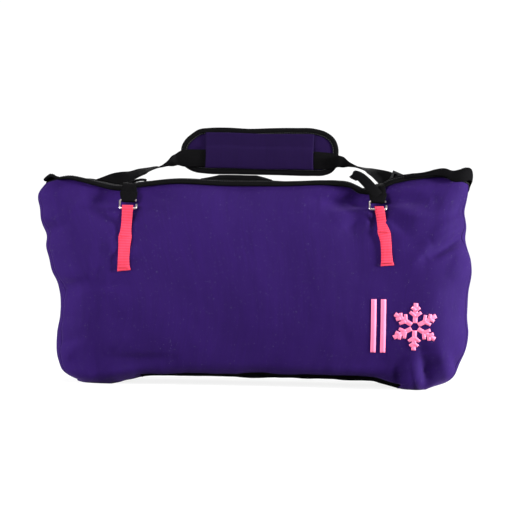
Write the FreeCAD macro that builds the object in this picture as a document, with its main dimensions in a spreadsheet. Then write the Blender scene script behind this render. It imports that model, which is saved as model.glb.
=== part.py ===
"""Soft holdall with a hook-down lid and a padded shoulder strap.

The bag stands on its two sagging ends.  X runs along its length, -Y is its
front, Z is up, and the origin is under the middle of it, on the ground.
"""
import FreeCAD, Part
import os
import re
import Sketcher
from FreeCAD import Placement, Rotation, Vector

# Driving dimensions, in millimetres and degrees.
DIMENSIONS = [
    # bag body
    ("half_length", 303),
    ("left_foot", 272),
    ("right_foot", 292),
    ("foot_round", 34),
    ("left_foot_end", 200),
    ("left_arch_end", 152),
    ("right_arch_end", 186),
    ("right_foot_end", 229),
    ("arch_height", 14),
    ("belly_radius", 269.25),
    ("belly_centre", 166.85),
    ("belly_height", 112),
    ("belly_half", 102.4),
    ("mouth_height", 276),
    ("plan_round", 60),
    ("wall", 3),
    ("end_panel_width", 84),
    ("end_panel_start", 236),
    ("base_right_end", 205),
    ("base_half_width", 70),
    ("board_inset", 8),
    ("board_thick", 3),
    ("board_gap", 0.2),
    # mouth tape and lid
    ("tape_width", 4),
    ("tape_rise", 3.5),
    ("lid_gap", 0.7),
    ("lid_thick", 3),
    ("lid_half_length", 299),
    ("lid_half_width", 46.5),
    ("lid_tape", 2),
    ("lid_round", 12),
    ("mouth_half_width", 46.5),
    ("mouth_half_length", 302.5),
    ("mouth_round", 8),
    # grab handle on the lid
    ("handle_middle", -28),
    ("handle_half", 50),
    ("handle_rise", 6.8),
    ("handle_thick", 1.8),
    ("handle_width", 25),
    ("handle_foot", 10),
    ("handle_slope", 8),
    # hook straps
    ("left_hook_x", -174),
    ("right_hook_x", 166),
    ("hook_hinge_gap", 2),
    ("hook_lean", 29.45),
    ("left_hook_drop", 47.9),
    ("right_hook_drop", 41.6),
    ("hook_strap_width", 19),
    ("webbing_thick", 1.5),
    ("strap_start", 1.6),
    ("over_back_gap", 3),
    ("tail_long", 20),
    ("tail_wide", 14),
    ("tail_thick", 3.6),
    ("tail_offset", 4),
    ("left_tail_tilt", 0),
    ("right_tail_tilt", 32),
    ("tail_gap", 0.2),
    # wire hooks
    ("hook_wire", 1.3),
    ("hook_half_width", 11.3),
    ("hook_height", 12.4),
    ("hook_bend", 1.8),
    ("hook_mouth", 6.2),
    ("wire_slack", 0.09),
    # loop tabs on the front panel
    ("tab_width", 17),
    ("tab_length", 88),
    ("tab_layer", 1.2),
    ("tab_stand_off", 0.6),
    ("tab_loop_gap", 3.4),
    ("tab_top_over_bar", 3.3),
    ("tab_tack", 5),
    ("tab_tack_middle", 40),
    ("tab_flat_gap", 0.2),
    # ring tabs and rings on the back panel
    ("ring_spread", 248),
    ("ring_y", 64),
    ("ring_bar_height", 262),
    ("ring_wire", 1.75),
    ("ring_round", 17),
    ("ring_corner", 4),
    ("ring_tab_width", 20),
    ("ring_tab_low", 226),
    ("ring_tab_thick", 3),
    # shoulder strap
    ("strap_middle_x", 3.5),
    ("strap_y", 64),
    ("strap_height", 317),
    ("strap_width", 25),
    ("strap_thick", 1.6),
    ("kink_reach", 122),
    ("leg_reach", 222),
    ("leg_fall", 0.4),
    ("loop_reach", 240),
    ("loop_low", 267.5),
    ("loop_high", 285),
    ("loop_thick", 6.8),
    # strap adjuster
    ("adjuster_reach", 196),
    ("adjuster_long", 20),
    ("adjuster_wide", 31),
    ("adjuster_thick", 6.2),
    ("adjuster_slot", 2.6),
    ("adjuster_slot_wide", 26.4),
    ("adjuster_window", 5.5),
    ("adjuster_bar", 3),
    ("adjuster_frame", 3),
    # shoulder pad
    ("pad_half", 113),
    ("pad_height", 65),
    ("pad_middle_height", 329.5),
    ("pad_round", 27),
    ("pad_core_thick", 9),
    ("pad_skin", 1),
    ("pad_gap", 1.2),
    ("pad_tape", 4),
    ("pad_tape_lap", 0.6),
    ("sleeve_half", 78),
    ("sleeve_low", 302),
    ("sleeve_high", 353),
    ("sleeve_skin", 1),
    ("sleeve_gap", 0.9),
]

doc = FreeCAD.newDocument("holdall")
sheet = doc.addObject("Spreadsheet::Sheet", "Dim")
for row, (alias, value) in enumerate(DIMENSIONS, start=1):
    sheet.set("A%d" % row, alias)
    sheet.set("B%d" % row, str(value))
    sheet.setAlias("B%d" % row, alias)
doc.recompute()

ALIASES = [alias for alias, _ in DIMENSIONS]
WORD = re.compile(r"\b(%s)\b" % "|".join(sorted(ALIASES, key=len, reverse=True)))
SUB_PARTS = []


# ---------------------------------------------------------------- helpers
def bound(text):
    """A formula in the sheet's words, as an expression of this document."""
    return WORD.sub(r"Dim.\1", str(text))


def amount(text):
    """The present value of a formula."""
    value = sheet.evalExpression(bound(text))
    return float(getattr(value, "Value", value))


def belly(height, offset="0"):
    """How far the belly stands from the middle plane at a height."""
    return ("(sqrt((belly_radius + (%s))^2 - ((%s) - belly_height)^2) - belly_centre)"
            % (offset, height))


def bind(target, **formulas):
    """Tie properties of an object to formulas."""
    for name, formula in formulas.items():
        target.setExpression(name, bound(formula))
    return target


def place(target, x="0", y="0", z="0", lean=None, about="x"):
    """Tie an object's place, and its turn about one axis, to formulas."""
    if lean is not None:
        axis = {"x": Vector(1, 0, 0), "y": Vector(0, 1, 0)}[about]
        target.Placement = Placement(Vector(), Rotation(axis, amount(lean)))
        target.setExpression("Placement.Rotation.Angle", bound(lean))
    target.setExpression("Placement.Base.x", bound(x))
    target.setExpression("Placement.Base.y", bound(y))
    target.setExpression("Placement.Base.z", bound(z))
    return target


def arc_between(start, end, radius):
    """A counter-clockwise arc of at most half a turn from start to end."""
    middle = (start + end) * 0.5
    chord = end - start
    rise = max(radius ** 2 - (chord.Length / 2) ** 2, 0) ** 0.5
    side = Vector(-chord.y, chord.x, 0)
    side.normalize()
    circle = Part.Circle(middle + side * rise, Vector(0, 0, 1), radius)
    return Part.ArcOfCircle(circle, circle.parameter(start), circle.parameter(end))


def draw(sketch, corners, arcs=None, closed=True):
    """Draw an outline.  Corners are pairs of formulas, in order; arcs gives the
    radius of the sides that are round, by the number of their first corner, and
    a side whose radius starts with a minus turns clockwise."""
    arcs = arcs or {}
    points = [Vector(amount(u), amount(v), 0) for u, v in corners]
    count = len(points) if closed else len(points) - 1
    heads = []
    for index in range(count):
        start, end = points[index], points[(index + 1) % len(points)]
        radius = arcs.get(index)
        if radius is None:
            geometry = sketch.addGeometry(Part.LineSegment(start, end), False)
            heads.append((geometry, 1, 2))
        elif radius.startswith("-"):
            geometry = sketch.addGeometry(arc_between(end, start, amount(radius[1:])), False)
            heads.append((geometry, 2, 1))
        else:
            geometry = sketch.addGeometry(arc_between(start, end, amount(radius)), False)
            heads.append((geometry, 1, 2))
    for index, (geometry, first, last) in enumerate(heads):
        fix_point(sketch, geometry, first, corners[index])
        if closed or index + 1 < count:
            follower = heads[(index + 1) % count]
            sketch.addConstraint(Sketcher.Constraint(
                "Coincident", geometry, last, follower[0], follower[1]))
        else:
            fix_point(sketch, geometry, last, corners[index + 1])
        radius = arcs.get(index)
        if radius is not None:
            formula = radius.lstrip("-")
            number = sketch.addConstraint(Sketcher.Constraint(
                "Radius", geometry, amount(formula)))
            sketch.setExpression("Constraints[%d]" % number, bound(formula))
    return sketch


def fix_point(sketch, geometry, end, corner):
    """Tie one end of a line to the two formulas of a corner."""
    for kind, formula in zip(("DistanceX", "DistanceY"), corner):
        number = sketch.addConstraint(Sketcher.Constraint(
            kind, -1, 1, geometry, end, amount(formula)))
        sketch.setExpression("Constraints[%d]" % number, bound(formula))


def rounded(left, right, low, high, radius):
    """Corners and arcs of a rectangle with rounded corners."""
    near, far = "(%s) + (%s)", "(%s) - (%s)"
    corners = [
        (near % (left, radius), low), (far % (right, radius), low),
        (right, near % (low, radius)), (right, far % (high, radius)),
        (far % (right, radius), high), (near % (left, radius), high),
        (left, far % (high, radius)), (left, near % (low, radius)),
    ]
    return corners, {1: radius, 3: radius, 5: radius, 7: radius}


def body_sketch(body, name, plane):
    """A sketch on one of a body's own origin planes."""
    sketch = body.newObject("Sketcher::SketchObject", name)
    support = [part for part in body.Origin.OriginFeatures if part.Role == plane][0]
    sketch.AttachmentSupport = [(support, "")]
    sketch.MapMode = "FlatFace"
    return sketch


def pad(body, sketch, length, name):
    """Pad a sketch to both sides of its plane."""
    feature = body.newObject("PartDesign::Pad", name)
    feature.Profile = sketch
    feature.SideType = "Symmetric"
    bind(feature, Length=length)
    sketch.Visibility = False
    return feature


def slab(label, plane, corners, arcs, length, holes=(), place_at=None):
    """A body that is one outline, with holes, padded to both sides of a plane."""
    body = doc.addObject("PartDesign::Body", label + "_body")
    sketch = body_sketch(body, label + "_outline", plane)
    draw(sketch, corners, arcs)
    for hole_corners, hole_arcs in holes:
        draw(sketch, hole_corners, hole_arcs)
    pad(body, sketch, length, label + "_pad")
    if place_at:
        place(body, **place_at)
    return body


def box(name, x, y, z, long, deep, high):
    """A box centred along X and Y on its place, and standing on it."""
    block = doc.addObject("Part::Box", name)
    bind(block, Length=long, Width=deep, Height=high)
    place(block, "(%s) - (%s) / 2" % (x, long), "(%s) - (%s) / 2" % (y, deep), z)
    return block


def span_box(name, x0, x1, y0, y1, z0, z1):
    """A box between two corners."""
    block = doc.addObject("Part::Box", name)
    span = "(%s) - (%s)"
    bind(block, Length=span % (x1, x0), Width=span % (y1, y0), Height=span % (z1, z0))
    return place(block, x0, y0, z0)


def rod(name, x, y, z, radius, length):
    """A cylinder along X, centred on its place."""
    cylinder = doc.addObject("Part::Cylinder", name)
    bind(cylinder, Radius=radius, Height=length)
    cylinder.Placement = Placement(Vector(), Rotation(Vector(0, 1, 0), 90))
    cylinder.setExpression("Placement.Base.x", bound("(%s) - (%s) / 2" % (x, length)))
    cylinder.setExpression("Placement.Base.y", bound(y))
    cylinder.setExpression("Placement.Base.z", bound(z))
    return cylinder


def cut(name, base, tool):
    """One solid less another."""
    result = doc.addObject("Part::Cut", name)
    result.Base = base
    result.Tool = tool
    return result


def common(name, *shapes):
    """What several solids share."""
    result = doc.addObject("Part::MultiCommon", name)
    result.Shapes = list(shapes)
    return result


def fuse(name, *shapes):
    """Several solids joined."""
    result = doc.addObject("Part::MultiFuse", name)
    result.Shapes = list(shapes)
    return result


def node(label, target):
    """Name a finished sub-part; the label is its file's name."""
    target.Label = label
    SUB_PARTS.append(target)
    return target


# ---------------------------------------------------------------- bag body
def bag_form(name, inset, over):
    """The bag as a solid, shrunk by inset all round and standing over the mouth."""
    low = inset
    high = "mouth_height + (%s)" % over
    shrink = "-(%s)" % inset
    side_low = belly(low, shrink)
    side_high = belly(high, shrink)
    radius = "belly_radius - (%s)" % inset
    section = slab(
        name + "_section", "YZ_Plane",
        [("-" + side_low, low), (side_low, low), (side_high, high), ("-" + side_high, high)],
        {1: radius, 3: radius}, "2 * half_length")

    reach = "half_length - (%s)" % inset
    corners, arcs = rounded("-(%s)" % reach, reach, "-belly_half + (%s)" % inset,
                            "belly_half - (%s)" % inset, "plan_round - (%s)" % inset)
    plan = slab(name + "_plan", "XY_Plane", corners, arcs, "4 * belly_half",
                place_at={"z": "mouth_height / 2"})

    arch = "arch_height + (%s)" % inset
    left = "-left_foot + (%s)" % inset
    right = "right_foot - (%s)" % inset
    lifted = "foot_round + (%s)" % inset
    front = slab(
        name + "_front", "XZ_Plane",
        [("-left_foot + foot_round", low), ("-left_foot_end", low), ("-left_arch_end", arch),
         ("right_arch_end", arch), ("right_foot_end", low), ("right_foot - foot_round", low),
         (right, lifted), (reach, high), ("-(%s)" % reach, high), (left, lifted)],
        {5: "foot_round", 9: "foot_round"}, "3 * belly_half")
    return common(name, section, plan, front)


def make_bag():
    """Front, back, end and base panels, cut from one sewn shell."""
    shell = cut("shell", bag_form("outer_form", "0", "0"), bag_form("inner_form", "wall", "wall"))
    reach = "half_length + wall"
    top = "mouth_height + wall"
    half = "end_panel_width / 2"
    left_zone = span_box("left_zone", "-(%s)" % reach, "-end_panel_start",
                         "-" + half, half, "-wall", top)
    right_zone = span_box("right_zone", "end_panel_start", reach, "-" + half, half, "-wall", top)
    base_zone = span_box("base_zone", "-left_arch_end", "base_right_end", "-base_half_width",
                         "base_half_width", "-wall", "arch_height + 2 * wall")
    front_zone = span_box("front_zone", "-(%s)" % reach, reach, "-belly_half - wall", "0",
                          "-wall", top)
    back_zone = span_box("back_zone", "-(%s)" % reach, reach, "0", "belly_half + wall",
                         "-wall", top)
    others = fuse("other_zones", left_zone, right_zone, base_zone)
    node("front_panel", cut("front_panel_cut", common("front_half", shell, front_zone), others))
    node("back_panel", cut("back_panel_cut", common("back_half", shell, back_zone), others))
    node("left_end_panel", common("left_end", shell, left_zone))
    node("right_end_panel", common("right_end", shell, right_zone))
    node("base_panel", common("base", shell, base_zone))
    node("base_board", span_box(
        "board", "-left_arch_end + board_inset", "right_arch_end - board_inset",
        "-base_half_width + board_inset", "base_half_width - board_inset",
        "arch_height + wall + board_gap", "arch_height + wall + board_gap + board_thick"))

    outer, outer_arcs = rounded("-mouth_half_length", "mouth_half_length", "-mouth_half_width",
                                "mouth_half_width", "mouth_round")
    inner, inner_arcs = rounded(
        "-mouth_half_length + tape_width", "mouth_half_length - tape_width",
        "-mouth_half_width + tape_width", "mouth_half_width - tape_width",
        "mouth_round - tape_width")
    node("mouth_binding", slab(
        "mouth_tape", "XY_Plane", outer, outer_arcs, "tape_rise", [(inner, inner_arcs)],
        {"z": "mouth_height + tape_rise / 2"}))


# ---------------------------------------------------------------- lid
LID_LOW = "(mouth_height + tape_rise + lid_gap)"
LID_TOP = "(%s + lid_thick)" % LID_LOW
LID_EDGE = "(lid_half_width + lid_tape)"


def make_lid():
    """The lid plate, the tape round it and the webbing sewn on it."""
    corners, arcs = rounded("-lid_half_length", "lid_half_length", "-lid_half_width",
                            "lid_half_width", "lid_round")
    middle = {"z": "%s + lid_thick / 2" % LID_LOW}
    node("lid_panel", slab("lid_plate", "XY_Plane", corners, arcs, "lid_thick",
                           place_at=middle))
    outer, outer_arcs = rounded(
        "-lid_half_length - lid_tape", "lid_half_length + lid_tape", "-" + LID_EDGE, LID_EDGE,
        "lid_round + lid_tape")
    node("lid_binding", slab("lid_tape_ring", "XY_Plane", outer, outer_arcs, "lid_thick",
                             [(corners, arcs)], middle))

    foot = "(handle_half - handle_foot)"
    slope = "(%s - handle_slope)" % foot
    crown = "(handle_rise + handle_thick)"
    upper = [("handle_half", "0"), ("handle_half", "handle_thick"), (foot, "handle_thick"),
             (slope, crown)]
    under = [(slope, "handle_rise"), (foot, "0")]
    mirrored = [("-" + u, v) for u, v in reversed(under)]
    mirrored_upper = [("-" + u, v) for u, v in reversed(upper)]
    node("grab_handle", slab(
        "handle", "XZ_Plane", upper + mirrored_upper + mirrored + under, {}, "handle_width",
        place_at={"x": "handle_middle", "z": LID_TOP}))

    for side in ("left", "right"):
        hook_x = side + "_hook_x"
        node(side + "_strap_over", span_box(
            side + "_over", "%s - hook_strap_width / 2" % hook_x,
            "%s + hook_strap_width / 2" % hook_x, "-" + LID_EDGE, LID_EDGE + " - over_back_gap",
            LID_TOP, LID_TOP + " + webbing_thick"))
        tail = doc.addObject("Part::Box", side + "_tail")
        bind(tail, Length="tail_long", Width="tail_wide", Height="tail_thick")
        tilt = side + "_tail_tilt"
        low_end = {"left": hook_x, "right": "%s - tail_long * cos(%s)" % (hook_x, tilt)}[side]
        rise = "%s + webbing_thick + tail_gap" % LID_TOP
        high = {"left": rise, "right": "%s + tail_long * sin(%s)" % (rise, tilt)}[side]
        place(tail, low_end, "-%s + tail_offset" % LID_EDGE, high, tilt, "y")
        node(side + "_strap_tail", tail)


# ---------------------------------------------------------------- hook straps
HINGE_Y = "(-%s - hook_hinge_gap)" % LID_EDGE
HINGE_Z = "(%s + lid_thick / 2)" % LID_LOW


def make_hook(side):
    """A webbing drop off the lid's front edge, with a bent wire hook in its end loop."""
    drop = side + "_hook_drop"
    top_bar = "(-%s + hook_height)" % drop
    lean = {"x": side + "_hook_x", "y": HINGE_Y, "z": HINGE_Z, "lean": "-hook_lean"}

    strip = span_box(side + "_strip", "-hook_strap_width / 2", "hook_strap_width / 2",
                     "-webbing_thick / 2", "webbing_thick / 2", top_bar, "-strap_start")
    turn = rod(side + "_turn", "0", "0", top_bar, "hook_wire + wire_slack + webbing_thick",
               "hook_strap_width")
    bore = rod(side + "_bore", "0", "0", top_bar, "hook_wire + wire_slack",
               "2 * hook_strap_width")
    strap = cut(side + "_drop", fuse(side + "_drop_blank", strip, turn), bore)
    node(side + "_hook_strap", place(strap, **lean))

    body = doc.addObject("PartDesign::Body", side + "_hook_body")
    path = body_sketch(body, side + "_hook_path", "XZ_Plane")
    low_bar = "(-%s)" % drop
    draw(path, [
        ("hook_half_width", top_bar), ("-hook_half_width + hook_bend", top_bar),
        ("-hook_half_width", top_bar + " - hook_bend"),
        ("-hook_half_width", low_bar + " + hook_bend"),
        ("-hook_half_width + hook_bend", low_bar), ("hook_half_width - hook_bend", low_bar),
        ("hook_half_width", low_bar + " + hook_bend"),
        ("hook_half_width", top_bar + " - hook_mouth")],
        {1: "hook_bend", 3: "hook_bend", 5: "hook_bend"}, closed=False)
    wire = body_sketch(body, side + "_hook_wire", "YZ_Plane")
    wire.setExpression("AttachmentOffset.Base.z", bound("hook_half_width"))
    round_profile(wire, "0", top_bar, "hook_wire")
    pipe = body.newObject("PartDesign::AdditivePipe", side + "_hook_pipe")
    pipe.Profile = wire
    pipe.Spine = path
    node(side + "_hook", place(body, **lean))


def round_profile(sketch, u, v, radius):
    """A circle in a sketch, with its centre and radius tied to formulas."""
    centre = Vector(amount(u), amount(v), 0)
    circle = sketch.addGeometry(Part.Circle(centre, Vector(0, 0, 1), amount(radius)), False)
    fix_point(sketch, circle, 3, (u, v))
    number = sketch.addConstraint(Sketcher.Constraint("Radius", circle, amount(radius)))
    sketch.setExpression("Constraints[%d]" % number, bound(radius))


def belly_strip(label, side, low, high, inner, outer, width, x, holes=()):
    """A strip that lies on the belly of one side, from one height to another.
    Inner and outer are its two faces' distances from the panel."""
    def ring(bottom, top, near, far):
        if side == "front":
            flip = "-"
            order = [(bottom, far), (bottom, near), (top, near), (top, far)]
            arcs = {1: "-(belly_radius + %s)" % near, 3: "(belly_radius + %s)" % far}
        else:
            flip = ""
            order = [(bottom, near), (bottom, far), (top, far), (top, near)]
            arcs = {1: "(belly_radius + %s)" % far, 3: "-(belly_radius + %s)" % near}
        return [(flip + belly(height, offset), height) for height, offset in order], arcs

    corners, arcs = ring(low, high, inner, outer)
    openings = [ring(bottom, top, near, far) for bottom, top, near, far in holes]
    return slab(label, "YZ_Plane", corners, arcs, width, openings, {"x": x})


def make_loop_tab(side):
    """A bright tab of folded webbing: a loop above its middle stitching, flat below."""
    low_bar = "(%s - %s_hook_drop * cos(hook_lean))" % (HINGE_Z, side)
    top = "(%s + tab_top_over_bar)" % low_bar
    bottom = "(%s - tab_length)" % top
    near = "(tab_stand_off + tab_layer)"
    far = "(%s + tab_loop_gap)" % near
    tack = "(%s + tab_tack_middle)" % bottom
    hole = ("%s + tab_tack" % tack, "%s - tab_layer" % top, near, far)
    hook_x = side + "_hook_x"
    loop = belly_strip(side + "_tab_loop", "front", tack, top, "tab_stand_off",
                       "(%s + tab_layer)" % far, "tab_width", hook_x, [hole])
    flat = belly_strip(side + "_tab_flat", "front", bottom, tack, "tab_stand_off",
                       "(%s + tab_flat_gap + tab_layer)" % near, "tab_width", hook_x)
    node(side + "_loop_tab", fuse(side + "_tab", loop, flat))


# ---------------------------------------------------------------- shoulder strap
def ring_body(name, wire, x):
    """A D-shaped wire ring that stands on its straight bar."""
    body = doc.addObject("PartDesign::Body", name)
    path = body_sketch(body, name + "_path", "XZ_Plane")
    straight = "(ring_round - ring_corner)"
    centre = "(ring_bar_height + ring_corner)"
    draw(path, [("0", "ring_bar_height"), (straight, "ring_bar_height"),
                ("ring_round", centre), ("0", centre + " + ring_round")],
         {1: "ring_corner", 2: "ring_round"}, closed=False)
    profile = body_sketch(body, name + "_wire", "YZ_Plane")
    round_profile(profile, "0", "ring_bar_height", wire)
    pipe = body.newObject("PartDesign::AdditivePipe", name + "_pipe")
    pipe.Profile = profile
    pipe.Spine = path
    doc.recompute()
    mirror = body.newObject("PartDesign::Mirrored", name + "_mirror")
    mirror.Originals = [pipe]
    plane = [part for part in body.Origin.OriginFeatures if part.Role == "YZ_Plane"][0]
    mirror.MirrorPlane = (plane, [""])
    body.Tip = mirror
    return place(body, x, "ring_y")


def make_ring(side, sign):
    """A ring, the tab that holds its bar, and the webbing leg that loops over it."""
    ring_x = "(strap_middle_x %s ring_spread)" % sign
    node(side + "_d_ring", ring_body(side + "_ring", "ring_wire", ring_x))

    tail = belly_strip(side + "_ring_tail", "back", "ring_tab_low",
                       "ring_bar_height", "tab_stand_off", "(tab_stand_off + ring_tab_thick)",
                       "ring_tab_width", ring_x)
    curl = rod(side + "_ring_curl", ring_x, "ring_y", "ring_bar_height",
               "ring_wire + wire_slack + webbing_thick", "ring_tab_width")
    seat = rod(side + "_ring_seat", ring_x, "ring_y", "ring_bar_height",
               "ring_wire + wire_slack", "2 * ring_tab_width")
    node(side + "_ring_tab", cut(
        side + "_ring_tab_cut", fuse(side + "_ring_tab_blank", tail, curl), seat))

    def along(reach):
        return "(strap_middle_x %s (%s))" % (sign, reach)

    half = "strap_width / 2"
    end = "(strap_height - leg_fall * (leg_reach - kink_reach))"
    corners = [
        (along("kink_reach"), "strap_height - " + half), (along("leg_reach"), end + " - " + half),
        (along("leg_reach"), end + " + " + half), (along("kink_reach"), "strap_height + " + half)]
    loop = [(along("leg_reach - ring_corner"), "loop_low"), (along("loop_reach"), "loop_low"),
            (along("loop_reach"), "loop_high"), (along("leg_reach - ring_corner"), "loop_high")]
    ribbon = slab(side + "_ribbon", "XZ_Plane", corners, {}, "strap_thick",
                  place_at={"y": "strap_y"})
    turn = slab(side + "_loop", "XZ_Plane", loop, {}, "loop_thick", place_at={"y": "strap_y"})
    blank = fuse(side + "_leg_blank", ribbon, turn)
    seat = ring_body(side + "_ring_clearance", "ring_wire + wire_slack", ring_x)
    node(side + "_strap_leg", cut(side + "_leg", blank, seat))


def make_strap():
    """Rings, legs and the run through the pad, with the adjuster on the right leg."""
    make_ring("left", "-")
    make_ring("right", "+")
    node("strap_middle", box("middle_run", "strap_middle_x", "strap_y",
                             "strap_height - strap_width / 2", "2 * kink_reach",
                             "strap_thick", "strap_width"))

    wide = "adjuster_wide / 2"
    long = "adjuster_long / 2"
    frame = box("adjuster_frame_box", "0", "0", "-" + wide, "adjuster_long", "adjuster_thick",
                "adjuster_wide")
    channel = box("adjuster_channel", "0", "0", "-adjuster_slot_wide / 2", "2 * adjuster_long",
                  "adjuster_slot", "adjuster_slot_wide")
    windows = []
    for name, start in (("outer", "adjuster_bar / 2"),
                        ("inner", "-adjuster_bar / 2 - adjuster_window")):
        windows.append(span_box(
            name + "_window", start, start + " + adjuster_window", "-adjuster_thick", "0",
            "-%s + adjuster_frame" % wide, "%s - adjuster_frame" % wide))
    slider = cut("adjuster_cut", frame, fuse("adjuster_openings", channel, *windows))
    reach = "(adjuster_reach - kink_reach)"
    place(slider, "strap_middle_x + adjuster_reach", "strap_y",
          "strap_height - leg_fall * %s" % reach, "atan(leg_fall)", "y")
    node("strap_adjuster", slider)


def make_pad():
    """Foam core between two skins, taped round its edge, with a sleeve for the webbing."""
    face = "(strap_y + strap_thick / 2 + pad_gap)"
    core = "(%s + pad_skin)" % face
    back = "(%s + pad_core_thick)" % core
    low = "(pad_middle_height - pad_height / 2)"
    high = "(pad_middle_height + pad_height / 2)"
    outer, outer_arcs = rounded("-pad_half", "pad_half", low, high, "pad_round")
    inner, inner_arcs = rounded("-pad_half + pad_tape", "pad_half - pad_tape",
                                low + " + pad_tape", high + " - pad_tape",
                                "pad_round - pad_tape")
    layers = [("pad_face", face, "pad_skin"), ("pad_core", core, "pad_core_thick"),
              ("pad_back", back, "pad_skin")]
    for label, start, thick in layers:
        node(label, slab(label + "_layer", "XZ_Plane", inner, inner_arcs, thick,
                         place_at={"x": "strap_middle_x", "y": "%s + %s / 2" % (start, thick)}))
    depth = "(pad_core_thick + 2 * pad_skin + 2 * pad_tape_lap)"
    node("pad_binding", slab(
        "pad_tape_ring", "XZ_Plane", outer, outer_arcs, depth, [(inner, inner_arcs)],
        {"x": "strap_middle_x", "y": "%s - pad_tape_lap + %s / 2" % (face, depth)}))

    front = "(strap_y - strap_thick / 2 - sleeve_gap - sleeve_skin)"
    under = "(%s + sleeve_skin)" % front
    profile = [
        (front, "sleeve_low"), (face, "sleeve_low"), (face, "sleeve_low + sleeve_skin"),
        (under, "sleeve_low + sleeve_skin"), (under, "sleeve_high - sleeve_skin"),
        (face, "sleeve_high - sleeve_skin"), (face, "sleeve_high"), (front, "sleeve_high")]
    node("pad_sleeve", slab("sleeve", "YZ_Plane", profile, {}, "2 * sleeve_half",
                            place_at={"x": "strap_middle_x"}))


# ---------------------------------------------------------------- build and write
make_bag()
make_lid()
for bag_side in ("left", "right"):
    make_hook(bag_side)
    make_loop_tab(bag_side)
make_strap()
make_pad()
doc.recompute()

faults = [item.Name for item in doc.Objects if {"Invalid", "Error"} & set(item.State)]
for part in SUB_PARTS:
    if part.Shape.isNull() or not part.Shape.isValid() or part.Shape.Volume <= 0:
        faults.append(part.Label)
if faults:
    raise RuntimeError("failed: " + ", ".join(faults))

os.makedirs("parts", exist_ok=True)
for part in SUB_PARTS:
    part.Shape.exportStep(os.path.join("parts", part.Label + ".step"))
    limits = part.Shape.BoundBox
    print("%-18s solids %d volume %9.1f  x %7.1f %7.1f  y %7.1f %7.1f  z %7.1f %7.1f" % (
        part.Label, len(part.Shape.Solids), part.Shape.Volume, limits.XMin, limits.XMax,
        limits.YMin, limits.YMax, limits.ZMin, limits.ZMax))
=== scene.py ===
"""A soft purple holdall with a hook-down lid and a padded shoulder strap."""
import math

import bmesh
import bpy
import numpy as np
from mathutils import Matrix, Vector, noise
from mathutils.bvhtree import BVHTree


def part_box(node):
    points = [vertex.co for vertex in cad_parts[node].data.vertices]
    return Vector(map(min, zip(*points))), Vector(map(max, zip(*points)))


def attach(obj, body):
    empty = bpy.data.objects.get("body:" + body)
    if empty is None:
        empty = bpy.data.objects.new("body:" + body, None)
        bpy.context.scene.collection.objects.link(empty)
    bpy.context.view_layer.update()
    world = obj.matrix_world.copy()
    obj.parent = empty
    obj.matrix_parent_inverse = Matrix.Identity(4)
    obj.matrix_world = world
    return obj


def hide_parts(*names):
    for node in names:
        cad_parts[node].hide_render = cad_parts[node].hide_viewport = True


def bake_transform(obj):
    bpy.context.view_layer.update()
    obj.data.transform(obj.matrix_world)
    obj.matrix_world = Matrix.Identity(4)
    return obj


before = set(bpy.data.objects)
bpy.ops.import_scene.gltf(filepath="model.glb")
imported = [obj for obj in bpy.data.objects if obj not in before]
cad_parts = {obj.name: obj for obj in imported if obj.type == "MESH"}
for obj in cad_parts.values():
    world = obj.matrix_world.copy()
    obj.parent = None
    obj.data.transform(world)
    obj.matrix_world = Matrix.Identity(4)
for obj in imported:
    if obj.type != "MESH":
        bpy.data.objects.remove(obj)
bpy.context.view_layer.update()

MM = 0.001
RIGHT = np.array([1.0, 0.0, 0.0])
BACK = np.array([0.0, 1.0, 0.0])
UP = np.array([0.0, 0.0, 1.0])

# Where the CAD pieces are, in millimetres.
BOX = {name: np.array([list(corner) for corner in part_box(name)]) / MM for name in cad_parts}
MOUTH_HEIGHT = BOX["front_panel"][1][2]
BELLY = -BOX["front_panel"][0][1]
MOUTH_HALF = BOX["mouth_binding"][1][1]
LID_HALF = BOX["lid_binding"][1][1]
STRAP_Y = (BOX["strap_middle"][0][1] + BOX["strap_middle"][1][1]) / 2
PAD_X = (BOX["pad_binding"][0][0] + BOX["pad_binding"][1][0]) / 2


# ------------------------------------------------------------------ curves
def through(table, at):
    """A smooth curve through given (place, value) points, read at any places."""
    places, values = np.array(table, float).T
    slopes = np.gradient(values, places)
    at = np.clip(np.asarray(at, float), places[0], places[-1])
    left = np.clip(np.searchsorted(places, at) - 1, 0, len(places) - 2)
    step = places[left + 1] - places[left]
    u = (at - places[left]) / step
    return ((2 * u ** 3 - 3 * u ** 2 + 1) * values[left]
            + (u ** 3 - 2 * u ** 2 + u) * step * slopes[left]
            + (3 * u ** 2 - 2 * u ** 3) * values[left + 1]
            + (u ** 3 - u ** 2) * step * slopes[left + 1])


def smooth_line(points, spacing, closed=False):
    """Points about spacing apart on a smooth line through the given ones."""
    points = np.array(points, float)
    if closed:
        control = np.vstack([points[-1:], points, points[:2]])
    else:
        control = np.vstack([2 * points[0] - points[1], points, 2 * points[-1] - points[-2]])
    gaps = np.maximum(np.linalg.norm(np.diff(control[:, :3], axis=0), axis=1), 1e-6)[:, None]
    steep = np.diff(control, axis=0) / gaps
    tangents = (steep[:-1] * gaps[1:] + steep[1:] * gaps[:-1]) / (gaps[1:] + gaps[:-1])
    line = []
    for span in range(len(points) if closed else len(points) - 1):
        a, b = control[span + 1], control[span + 2]
        m = tangents[span] * gaps[span + 1]
        n = tangents[(span + 1) % len(tangents)] * gaps[span + 1]
        steps = max(2, int(round(gaps[span + 1, 0] / spacing)))
        for u in np.arange(steps) / steps:
            line.append((2 * u ** 3 - 3 * u ** 2 + 1) * a + (u ** 3 - 2 * u ** 2 + u) * m
                        + (3 * u ** 2 - 2 * u ** 3) * b + (u ** 3 - u ** 2) * n)
    if not closed:
        line.append(points[-1])
    return np.array(line)


def unit(vectors):
    """Vectors at length one."""
    vectors = np.asarray(vectors, float)
    return vectors / np.maximum(np.linalg.norm(vectors, axis=-1, keepdims=True), 1e-9)


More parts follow.
